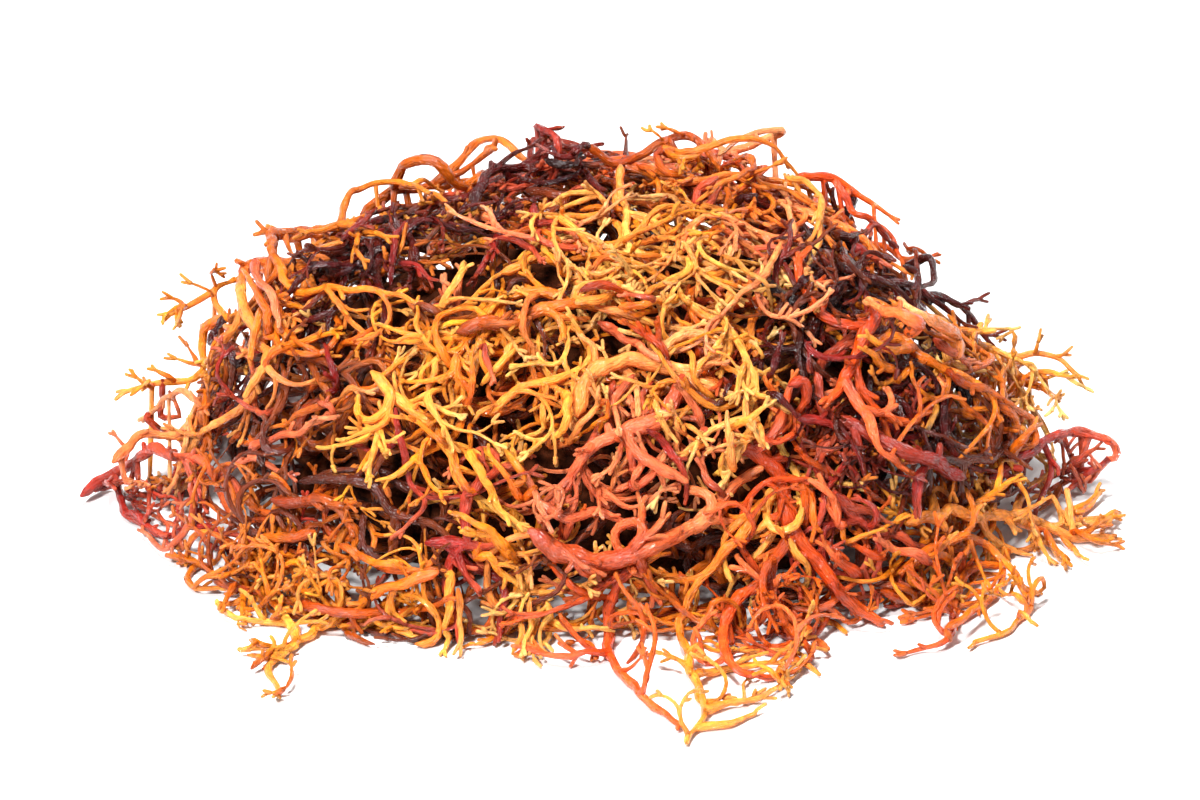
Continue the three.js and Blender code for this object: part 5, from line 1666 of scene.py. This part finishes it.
def sprout_radii(radius, rule):
    """A small shoot narrows a little, and widens towards its mother's width where it leaves it."""
    thin = np.clip(radius * rng.uniform(*rule["width"], len(radius)), *rule["radius"])
    foot = np.exp(-((SPROUT_WAY * rule["fall"]) ** 2))
    return (thin[:, None] * (1 - SPROUT_NARROWING * SPROUT_WAY)
            + np.maximum(rule["foot"] * radius - thin, 0)[:, None] * foot)


def sprouts(picks, points, radii, gain, layer):
    """The small shoots that stay inside the box, as strands."""
    out = []
    for k, (s, at) in enumerate(picks):
        if not inside_box(points[k], radii[k]):
            continue
        ripe = s["ripe"][at] + gain * SPROUT_WAY
        out.append(make_strand(points[k], radii[k], s["slot"], ripe, None, layer))
        out[-1].update(tint=s["tint"], shoot=True, mother=s, at=at)
    return out


def shoots(strands, spacing, layer):
    """Short side twigs along the strands."""
    step = FINENESS[layer]["step"]
    picks = []
    for s in strands:
        n = len(s["points"])
        if n < SHOOT["shortest"]:
            continue
        for at in rng.integers(SHOOT["first"], n - 2, rng.poisson(n * step / spacing)):
            picks.append((s, at))
    if not picks:
        return []
    origin = np.array([s["points"][at] for s, at in picks])
    ahead = units(np.array([s["points"][at + 1] - s["points"][at - 1] for s, at in picks]))
    radius = np.array([s["radii"][at] for s, at in picks])
    n = len(picks)
    roll = rng.uniform(0, 2 * math.pi, n)[:, None]
    direction = turned(ahead, roll, rng.uniform(*SHOOT["slant"], n)[:, None])
    length = (radius + rng.uniform(*SHOOT["length"], n))[:, None]
    bend = units(ahead * rng.normal(*SHOOT["turn"], (n, 1)) + rng.normal(0, SHOOT["stray"], (n, 3)))
    points = (origin[:, None] + direction[:, None] * (length * SPROUT_WAY)[..., None]
              + bend[:, None] * (SHOOT["bend"] * length * SPROUT_WAY**2)[..., None])
    return sprouts(picks, points, sprout_radii(radius, SHOOT), SHOOT["gain"], layer)


def prongs(strands, layer, chance):
    """The forked tips of strands."""
    picks, rolls = [], []
    for s in strands:
        if rng.random() < chance:
            many = 3 if rng.random() < PRONG["threes"] else 2
            roll = rng.uniform(0, 2 * math.pi)
            for k in range(many):
                picks.append((s, -1))
                rolls.append(roll + k * 2 * math.pi / many + rng.normal(0, PRONG["roll"]))
    if not picks:
        return []
    origin = np.array([s["points"][-1] for s, at in picks])
    ahead = units(np.array([s["points"][-1] - s["points"][-2] for s, at in picks]))
    radius = np.array([s["radii"][-1] for s, at in picks])
    n = len(picks)
    direction = turned(ahead, np.array(rolls)[:, None], rng.uniform(*PRONG["slant"], n)[:, None])
    length = rng.uniform(*PRONG["length"], n) * np.sqrt(np.clip(radius, *PRONG["mother"]) / PRONG["usual"])
    length = length[:, None]
    bend = across_any(direction) * rng.normal(0, PRONG["side"], (n, 1))
    bend = bend + rng.normal(0, PRONG["stray"], (n, 3))
    t = SPROUT_WAY
    points = ((origin - ahead * PRONG["sunk"] * radius[:, None])[:, None]
              + direction[:, None] * (length * t)[..., None]
              + ahead[:, None] * (PRONG["ahead"] * length * t**2)[..., None]
              + bend[:, None] * (length * t * (t - PRONG["turn_back"]))[..., None])
    return sprouts(picks, points, sprout_radii(radius, PRONG), PRONG["gain"], layer)


# The colours that a frond of each colour may turn towards
KIN = {"pale": ("gold", "salmon"), "gold": ("pale", "amber"), "amber": ("gold", "orange"),
       "orange": ("salmon", "gold"), "salmon": ("rose", "pale"), "rose": ("salmon", "maroon"),
       "maroon": ("rose", "umber"), "umber": ("amber", "maroon")}
# Fronds that lean to another colour than their own: the colour, how far, and how light they are
LEANING = {"right_pale_spray": ("pale", 0.8, 1.15), "right_amber_mass": ("gold", 0.4, 1.1),
           "right_tan_fan": ("pale", 0.5, 1.1), "left_gold_antler": ("pale", 0.35, 1.0),
           "left_orange_stem": ("pale", 0.5, 0.95), "left_salmon_arch": ("pale", 0.3, 1.0),
           "low_left_gold_branch": ("pale", 0.35, 1.0), "salmon_loop": ("pale", 0.4, 1.0),
           "salmon_cord": ("rose", 0.3, 1.05), "gold_left_stem": ("pale", 0.4, 1.05),
           "front_gold_foot": ("pale", 0.35, 1.05), "orange_keel": ("salmon", 0.5, 0.95),
           "crest_tan_loop": ("gold", 0.35, 1.0), "maroon_sling": ("maroon", 0.35, 0.9)}


# How far a strand may turn to a kindred colour, how rarely it turns far, how much its lightness varies, and
# how much of that is left where its colour leans one way
TINT = dict(share=0.5, power=1.6, light=0.1, leaning=0.6)


def give_tints(strands):
    """Each strand gets a shade of its own: how far it turns to a kindred colour, and how light it is."""
    for s in strands:
        kin = KIN[s["slot"]][int(rng.random() < 0.5)]
        share = TINT["share"] * rng.random() ** TINT["power"]
        light = rng.normal(0, TINT["light"])
        if s.get("node") in LEANING:
            kin, share, lightness = LEANING[s["node"]]
            light = TINT["leaning"] * light + math.log(lightness)
        s["tint"] = (kin, share, math.exp(light))


DRIFT = (0.25, 1.5, 22.0)  # how far a colour drifts along a strand, by what step and over what length
SPECKLE = 0.06


BLEND_REACH = 6.0


def colours_of(s):
    """A strand's colours along its way: they start as its mother's where it leaves it and turn to its own."""
    if "colours" in s:
        return s["colours"]
    other, share, light = s["tint"]
    ripe = np.clip(s["ripe"], 0, 1)
    size, step, reach = DRIFT
    drift = np.clip(share + size * smooth_noise(len(ripe), step, reach), 0, 1)[:, None]
    colour = tinted(s["slot"], ripe) * (1 - drift) + tinted(other, ripe) * drift
    colour = colour * (light * (1 + SPECKLE * rng.normal(0, 1, len(ripe))))[:, None]
    if "mother" in s:
        hold = np.exp(-way_along(s["points"]) / BLEND_REACH)[:, None]
        colour = colour * (1 - hold) + colours_of(s["mother"])[s["at"]] * hold
    s["colours"] = colour
    return colour


# A rounded end: how far out its last rings are and how wide, as shares of the radius
ROUND_OUT = np.array([0.55, 0.88])
ROUND_WIDTH = np.array([0.83, 0.47])


def rounded(s, colour):
    """A strand with its end rounded off, and its start too where it grows from nothing."""
    points, radii = s["points"], s["radii"]
    if s["parent"] is None and s.get("major", True) and not s.get("shoot"):
        back = points[0] - points[1]
        back = back / max(math.sqrt(back @ back), 1e-9)
        points = np.vstack([points[0] + back * (radii[0] * ROUND_OUT[::-1])[:, None], points])
        radii = np.concatenate([radii[0] * ROUND_WIDTH[::-1], radii])
        colour = np.vstack([colour[:1], colour[:1], colour])
    end = points[-1] - points[-2]
    end = end / max(math.sqrt(end @ end), 1e-9)
    extra = points[-1] + end * (radii[-1] * ROUND_OUT)[:, None]
    return (np.vstack([points, extra]), np.concatenate([radii, radii[-1] * ROUND_WIDTH]),
            np.vstack([colour, colour[-1:], colour[-1:]]))


# How flat strands may be, how rough their skin is, and how far the pole of each end stands out
FLATNESS = (0.84, 1.0)
ROUGH_SKIN = 0.09
START_POLE = 0.2
END_POLE = 0.35


def on_axis(gone):
    """The grain of places on a strand's axis."""
    return np.stack([0 * gone, 0 * gone, gone], 1)


def tubes(strands, sides):
    """The closed skins of strands: places, quads, triangles, colours and grain.

    The grain is each place's direction round its strand, and how far along all the strands it is.
    """
    parts = [rounded(s, colours_of(s)) for s in strands]
    parts.sort(key=lambda part: -len(part[0]))
    counts = np.array([len(part[0]) for part in parts])
    starts = np.cumsum(counts) - counts
    p = np.concatenate([part[0] for part in parts])
    r = np.concatenate([part[1] for part in parts])
    c = np.concatenate([part[2] for part in parts])
    n = len(p)
    ends = starts + counts - 1
    t = np.empty_like(p)
    t[1:-1] = p[2:] - p[:-2]
    t[starts] = p[starts + 1] - p[starts]
    t[ends] = p[ends] - p[ends - 1]
    t = units(t)
    normal = np.empty_like(p)
    now = across_any(t[starts])
    for k in range(counts[0]):
        live = int((counts > k).sum())
        tangent = t[starts[:live] + k]
        now = now[:live]
        now = units(now - (now * tangent).sum(1, keepdims=True) * tangent)
        normal[starts[:live] + k] = now
    beside = np.cross(t, normal)
    own = np.repeat(np.arange(len(counts)), counts)
    flat = rng.uniform(*FLATNESS, len(counts))[own]
    lumps = rng.normal(0, 1, (n + 2, sides))
    lumps = (lumps[:-2] + 2 * lumps[1:-1] + lumps[2:]) / 4
    angle = 2 * math.pi * np.arange(sides) / sides
    size = r[:, None] * (1 + ROUGH_SKIN * lumps)
    out = (normal[:, None] * np.cos(angle)[:, None]
           + beside[:, None] * (np.sin(angle) * flat[:, None])[..., None])
    ring = p[:, None] + out * size[..., None]
    gone = way_along(p)
    grain = np.empty((n, sides, 3))
    grain[..., 0], grain[..., 1], grain[..., 2] = np.cos(angle), np.sin(angle), gone[:, None]
    start_poles = p[starts] - t[starts] * START_POLE * r[starts][:, None]
    end_poles = p[ends] + t[ends] * END_POLE * r[ends][:, None]
    places = np.concatenate([ring.reshape(-1, 3), start_poles, end_poles])
    colours = np.concatenate([np.repeat(c, sides, 0), c[starts], c[ends]])
    grains = np.concatenate([grain.reshape(-1, 3), on_axis(gone[starts]), on_axis(gone[ends])])
    side = np.arange(sides)
    turn = (side + 1) % sides
    going = np.ones(n, bool)
    going[ends] = False
    base = np.flatnonzero(going)[:, None] * sides
    quads = np.stack([base + side, base + turn, base + sides + turn, base + sides + side], -1).reshape(-1, 4)
    foot = n * sides + np.arange(len(counts))[:, None]
    tip = foot + len(counts)
    first, last = starts[:, None] * sides, ends[:, None] * sides
    caps = np.concatenate([
        np.stack([foot + 0 * side, first + turn, first + side], -1).reshape(-1, 3),
        np.stack([tip + 0 * side, last + side, last + turn], -1).reshape(-1, 3)])
    return places, quads, caps, colours, grains


LEAST_HEIGHT = 0.0001  # over the floor, in metres


def put(name, data):
    """An object of the scene."""
    thing = bpy.data.objects.new(name, data)
    bpy.context.scene.collection.objects.link(thing)
    return thing


def build_piece(name, batches, material, node=None):
    """One piece from batches of skins, in metres."""
    bases = np.cumsum([0] + [len(batch[0]) for batch in batches])
    places = np.concatenate([batch[0] for batch in batches]) * MM
    places[:, 2] = np.maximum(places[:, 2], LEAST_HEIGHT)
    quads = np.concatenate([batch[1] + base for batch, base in zip(batches, bases)])
    caps = np.concatenate([batch[2] + base for batch, base in zip(batches, bases)])
    colours = np.clip(np.concatenate([batch[3] for batch in batches]), 0, 1)
    grains = np.concatenate([batch[4] for batch in batches])
    mesh = bpy.data.meshes.new(name)
    mesh.vertices.add(len(places))
    mesh.vertices.foreach_set("co", places.ravel())
    mesh.loops.add(quads.size + caps.size)
    mesh.loops.foreach_set("vertex_index", np.concatenate([quads.ravel(), caps.ravel()]))
    mesh.polygons.add(len(quads) + len(caps))
    face_starts = [4 * np.arange(len(quads)), quads.size + 3 * np.arange(len(caps))]
    mesh.polygons.foreach_set("loop_start", np.concatenate(face_starts))
    mesh.update(calc_edges=True)
    mesh.polygons.foreach_set("use_smooth", np.ones(len(mesh.polygons), bool))
    tint = mesh.attributes.new("tint", "FLOAT_COLOR", "POINT")
    tint.data.foreach_set("color", np.concatenate([colours, np.ones((len(colours), 1))], 1).ravel())
    grain = mesh.attributes.new("grain", "FLOAT_VECTOR", "POINT")
    grain.data.foreach_set("vector", grains.ravel())
    mesh.materials.append(material)
    piece = put(name, mesh)
    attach(piece, "root")
    if node:
        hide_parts(node)


def node_of(material, kind, **inputs):
    node = material.node_tree.nodes.new(kind)
    for name, value in inputs.items():
        setattr(node, name, value)
    return node


def noise_of(material, vector, scale, detail):
    """A noise texture over the given coordinates."""
    noise = node_of(material, "ShaderNodeTexNoise")
    noise.inputs["Scale"].default_value = scale
    noise.inputs["Detail"].default_value = detail
    material.node_tree.links.new(vector, noise.inputs["Vector"])
    return noise.outputs["Fac"]


def ranged(material, value, low, high, least, most):
    """A value turned from one range to another, and kept inside it."""
    turn = node_of(material, "ShaderNodeMapRange")
    for name, number in (("From Min", low), ("From Max", high), ("To Min", least), ("To Max", most)):
        turn.inputs[name].default_value = number
    material.node_tree.links.new(value, turn.inputs["Value"])
    return turn.outputs["Result"]


def multiplied(material, colour, factor):
    """A colour times another, which is linked or constant."""
    product = node_of(material, "ShaderNodeVectorMath", operation="MULTIPLY")
    material.node_tree.links.new(colour, product.inputs[0])
    if isinstance(factor, tuple):
        product.inputs[1].default_value = factor
    else:
        material.node_tree.links.new(factor, product.inputs[1])
    return product.outputs["Vector"]


def mixed(material, share, first, second):
    """Two colours mixed by a linked share."""
    mix = node_of(material, "ShaderNodeMix", data_type="RGBA")
    link = material.node_tree.links.new
    link(share, mix.inputs[0])
    link(first, mix.inputs[6])
    link(second, mix.inputs[7])
    return mix.outputs[2]


def bumped(material, height, strength, distance, over=None):
    """A surface direction bumped by a height, over another bump where one is given."""
    bump = node_of(material, "ShaderNodeBump")
    bump.inputs["Strength"].default_value = strength
    bump.inputs["Distance"].default_value = distance
    material.node_tree.links.new(height, bump.inputs["Height"])
    if over is not None:
        material.node_tree.links.new(over, bump.inputs["Normal"])
    return bump.outputs["Normal"]


def painted_shade_material():
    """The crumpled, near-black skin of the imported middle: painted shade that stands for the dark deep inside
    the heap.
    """
    material = bpy.data.materials.new("painted_shade_dark")
    material.use_nodes = True
    link = material.node_tree.links.new
    shader = material.node_tree.nodes["Principled BSDF"]
    place = node_of(material, "ShaderNodeTexCoord").outputs["Object"]
    mottle = noise_of(material, place, 260, 4)
    ramp = node_of(material, "ShaderNodeValToRGB")
    # Painted shade: near-black to dark brown.
    shades = ((0.35, (0.006, 0.0015, 0.0006, 1)), (0.75, (0.09, 0.02, 0.006, 1)))
    for element, (position, shade) in zip(ramp.color_ramp.elements, shades):
        element.position = position
        element.color = shade
    link(mottle, ramp.inputs["Fac"])
    link(ramp.outputs["Color"], shader.inputs["Base Color"])
    shader.inputs["Roughness"].default_value = 0.9
    shader.inputs["Specular IOR Level"].default_value = 0.05
    link(bumped(material, mottle, 1.0, 0.002), shader.inputs["Normal"])
    return material


def frond_material(slot):
    """A wet, half-clear skin over the mesh's own colours, with blotches, mottling, wrinkles and painted light:
    rims lit paler by the viewing angle.
    """
    material = bpy.data.materials.new("frond_" + slot)
    material.use_nodes = True
    tree = material.node_tree
    link = tree.links.new
    shader = tree.nodes["Principled BSDF"]
    tint = node_of(material, "ShaderNodeAttribute", attribute_name="tint").outputs["Color"]
    grain = node_of(material, "ShaderNodeAttribute", attribute_name="grain").outputs["Vector"]
    place = node_of(material, "ShaderNodeTexCoord").outputs["Object"]
    blotch = ranged(material, noise_of(material, place, 130, 2), 0.42, 0.68, 0.0, 0.75)
    colour = mixed(material, blotch, tint, multiplied(material, tint, BLOTCH[slot]))
    mottling = ranged(material, noise_of(material, place, 620, 3), 0.3, 0.7, 0.72, 1.2)
    colour = multiplied(material, colour, mottling)
    # Painted light: the colour is up to 1.22 times lighter towards a strand's edges as seen, and a little
    # darker where it faces the eye, standing in for light shining through the strands.
    rim = node_of(material, "ShaderNodeLayerWeight")
    rim.inputs["Blend"].default_value = 0.35
    colour = multiplied(material, colour, ranged(material, rim.outputs["Facing"], 0.0, 0.8, 0.92, 1.22))
    link(colour, shader.inputs["Base Color"])
    shader.inputs["Roughness"].default_value = ROUGHNESS[slot]
    shader.inputs["Specular IOR Level"].default_value = 0.2
    shader.inputs["Coat Weight"].default_value = 1.0
    shader.inputs["Coat Roughness"].default_value = 0.08
    shader.inputs["IOR"].default_value = 1.42
    stretched = multiplied(material, grain, (1.6, 1.6, 0.34))
    folds = noise_of(material, stretched, 1.9, 1)
    skin = bumped(material, folds, 1.0, 0.00055)
    link(skin, shader.inputs["Normal"])
    film = bumped(material, folds, 1.0, 0.0012)
    film = bumped(material, noise_of(material, place, 900, 1), 0.9, 0.0005, film)
    link(film, shader.inputs["Coat Normal"])
    glow = node_of(material, "ShaderNodeBsdfTranslucent")
    link(colour, glow.inputs["Color"])
    link(skin, glow.inputs["Normal"])
    both = node_of(material, "ShaderNodeMixShader")
    both.inputs[0].default_value = GLOW_SHARE
    link(shader.outputs[0], both.inputs[1])
    link(glow.outputs[0], both.inputs[2])
    link(both.outputs[0], tree.nodes["Material Output"].inputs["Surface"])
    return material


CORE_SIZE = 0.65
CORE_FOOT = 0.09  # how much smaller it is at the ground
CORE = dict(around=150, rings=44, top_gap=0.04, waves=14, turns=(3, 22), rises=(2, 18), phase=6.3, wave=0.011,
            foot_reach=0.25, lift=0.3, shade=0.5, grain=3)


def core_batch():
    """The crumpled middle, which closes the view through the heap; its near-black colour is painted shade."""
    around, rings = CORE["around"], CORE["rings"]
    turn = np.linspace(0, 2 * math.pi, around, endpoint=False)
    rise = np.linspace(0.0, math.pi / 2 - CORE["top_gap"], rings)
    waves_drawn = [(rng.integers(*CORE["turns"]), rng.integers(*CORE["rises"]),
                    rng.random() * CORE["phase"], rng.random() * CORE["phase"]) for _ in range(CORE["waves"])]
    level = np.full((rings, around), CORE_SIZE)
    level = level - CORE_FOOT * np.exp(-((rise[:, None] / CORE["foot_reach"]) ** 2))
    for a, b, c, d in waves_drawn:
        level += CORE["wave"] * np.sin(a * turn[None] + c) * np.cos(b * rise[:, None] + d)
    points = on_heap(turn[None] + 0 * rise[:, None], rise[:, None] + 0 * turn[None], level)
    points[..., 2] += CORE["lift"]
    poles = [[0, 0, CORE["lift"]], [0, 0, HEAP[2] * CORE_SIZE]]
    places = np.concatenate([points.reshape(-1, 3), poles])
    side = np.arange(around)
    turned_on = (side + 1) % around
    base = np.arange(rings - 1)[:, None] * around
    quads = [base + side, base + turned_on, base + around + turned_on, base + around + side]
    bottom, top = rings * around, rings * around + 1
    last = (rings - 1) * around
    caps = np.concatenate([np.stack([bottom + 0 * side, turned_on, side], -1),
                           np.stack([top + 0 * side, last + side, last + turned_on], -1)])
    # Painted shade: the core's tint is the umber root colour at half strength.
    colours = np.tile(PALETTE["umber"][0] * CORE["shade"], (len(places), 1))
    return places, np.stack(quads, -1).reshape(-1, 4), caps, colours, places / CORE["grain"]


# The making

low_corner, high_corner = cad_box
cad_low, cad_high = np.array(low_corner) / MM, np.array(high_corner) / MM

arches, fronds = lay_all()
materials = {slot: frond_material(slot) for slot in SLOTS}

# The mean spacing of side twigs in mm, and how likely a tip is forked
SHOOT_SPACING = {"outer": 12.0, "patch": 12.0, "middle": 22.0, "deep": 90.0}
THIN_SPACING = 9.0
ARCH_SPACING = 200.0
FROND_SPACING = (6, 16)
BACK_SPACING = 1.6
SHOOT_ROOM = 1.15
PRONG_CHANCE = {"front": 0.95, "branch": 0.9, "outer": 0.85, "patch": 0.9, "middle": 0.6, "deep": 0.0}
TWIG_PRONGS = 0.25
THICK_RADIUS = 1.3
ARCH_SLENDER = 0.75


def dressed(strands, layer, spacing):
    """Strands with their side twigs and forked tips, as skins."""
    give_tints(strands)
    twigs = shoots(strands, spacing * SHOOT_ROOM, layer)
    chance = PRONG_CHANCE[layer]
    tips = prongs(strands, layer, chance) + prongs(twigs, layer, TWIG_PRONGS * chance)
    fine = FINENESS[layer]
    thick = [s for s in strands if s["radii"].mean() > THICK_RADIUS]
    thin = [s for s in strands if s["radii"].mean() <= THICK_RADIUS]
    groups = ((thick, fine["thick"]), (thin, fine["thin"]), (twigs + tips, fine["tip"]))
    return [tubes(group, sides) for group, sides in groups if group]


def add_fill(filling, more):
    """Adds strands to the filling, with their parents counted from its start."""
    for s in more:
        if s["parent"] >= 0:
            s["parent"] += len(filling)
    return filling + more


def layer_of(frond):
    return "outer" if frond["name"].startswith("back_") else "front"


drawn = {}
for frond in fronds:
    drawn[frond["name"]] = fine_frond(frond, layer_of(frond))
    for s in drawn[frond["name"]]:
        s["node"] = frond["name"]
# The arching strands inside the heap are dark umber: partly the fronds' own colour, partly painted shade
# inside the heap.
for arch in arches:
    arch["radii"] = arch["radii"] * ARCH_SLENDER
arch_lines = fine_frond(dict(name="arches", colour="umber", strands=arches), "deep")
thin = thin_strands([s for frond in fronds for s in drawn[frond["name"]]])

front_strands = [s for frond in fronds for s in drawn[frond["name"]]] + thin
fixed = np.concatenate([s["points"][::2] for s in front_strands] + [s["points"] for s in arch_lines])
fixed_radii = np.concatenate([s["radii"][::2] for s in front_strands] + [s["radii"] for s in arch_lines])

filling = branches_of(front_strands[: -len(thin)])
for layer in FILL:
    filling = add_fill(filling, fill_fronds(layer))
filling = add_fill(filling, patch_fronds(PATCHES))
filling = add_fill(filling, skirt_fronds())
filling = add_fill(filling, patch_fronds(GAPS))
settle(filling, fixed, fixed_radii)
loose = fine_fill(filling)

for frond in fronds:
    name = frond["name"]
    spread = sum(len(s["points"]) for s in drawn[name]) * FINENESS["front"]["step"]
    spacing = np.clip(spread / (2.0 * frond["twigs"] + 1), *FROND_SPACING)
    if layer_of(frond) != "front":
        spacing *= BACK_SPACING
    skins = dressed(drawn[name], layer_of(frond), spacing)
    more = [s for s in loose if s["node"] == name]
    if more:
        skins += dressed(more, "branch", spacing)
    build_piece("fine_" + name, skins, materials[frond["colour"]], name)
for slot in SLOTS:
    name = "thin_" + slot
    skins = dressed([s for s in thin if s["node"] == name], "front", THIN_SPACING)
    build_piece(name + "_strands", skins, materials[slot])
# The near-black middle is painted shade deep in the heap.
build_piece("painted_shade_middle", [core_batch()], painted_shade_material(), "inner_tangle")
arch_skins = dressed(arch_lines, "deep", ARCH_SPACING)
build_piece("arching_strands", arch_skins, materials["umber"], "inner_tangle")
for layer in list(FILL) + ["patch"]:
    for slot in SLOTS:
        group = [s for s in loose if s["layer"] == layer and s["slot"] == slot]
        if group:
            skins = dressed(group, layer, SHOOT_SPACING[layer])
            build_piece(f"{layer}_{slot}_fronds", skins, materials[slot])

# The floor, the light and the view, in metres
FLOOR_HALF = 6
FLOOR_COLOUR = (0.78, 0.78, 0.78, 1)
WORLD_STRENGTH = 0.33
LIGHT_AIM = (0, 0, 0.03)
# Each light's place, size and power
LIGHTS = {
    "overhead": ((-0.15, -0.25, 1.1), 0.28, 25),
    "key": ((-0.45, -0.85, 0.8), 0.11, 22),
    "rim": ((0.5, 0.7, 0.6), 0.4, 3),
}
SENSOR_WIDTH = 36
PICTURE_WIDTH = 264  # the width in mm that the picture shows at the heap

half = FLOOR_HALF
floor_mesh = bpy.data.meshes.new("floor")
floor_mesh.from_pydata([(-half, -half, 0), (half, -half, 0), (half, half, 0), (-half, half, 0)], [],
                       [(0, 1, 2, 3)])
floor = put("floor", floor_mesh)
floor_material = bpy.data.materials.new("pale_floor")
floor_material.use_nodes = True
paper = floor_material.node_tree.nodes["Principled BSDF"]
paper.inputs["Base Color"].default_value = FLOOR_COLOUR
paper.inputs["Roughness"].default_value = 0.9
paper.inputs["Specular IOR Level"].default_value = 0.1
floor_mesh.materials.append(floor_material)

world = bpy.data.worlds.new("studio")
world.use_nodes = True
world.node_tree.nodes["Background"].inputs["Color"].default_value = (1, 1, 1, 1)
world.node_tree.nodes["Background"].inputs["Strength"].default_value = WORLD_STRENGTH
bpy.context.scene.world = world


def point_along(thing, place, back):
    """Puts a lamp or a camera at a place, looking away from the direction back."""
    right = units(np.cross([0, 0, 1], back))
    matrix = np.eye(4)
    matrix[:3] = np.stack([right, np.cross(back, right), back, place], 1)
    thing.matrix_world = Matrix(matrix.tolist())


for name, (place, size, power) in LIGHTS.items():
    light = bpy.data.lights.new(name, "AREA")
    light.shape = "SQUARE"
    light.size = size
    light.energy = power
    point_along(put(name, light), np.array(place), units(np.array(place) - np.array(LIGHT_AIM)))

lens = bpy.data.cameras.new("camera")
lens.sensor_width = SENSOR_WIDTH
lens.lens = SENSOR_WIDTH * LOOK_DISTANCE / PICTURE_WIDTH
lens.clip_start = 0.01
lens.clip_end = 50
camera = put("camera", lens)
eye = FRONT_VIEW[0]
point_along(camera, eye * MM, units(eye - TARGET))
bpy.context.scene.camera = camera
bpy.context.scene.view_settings.view_transform = "Standard"
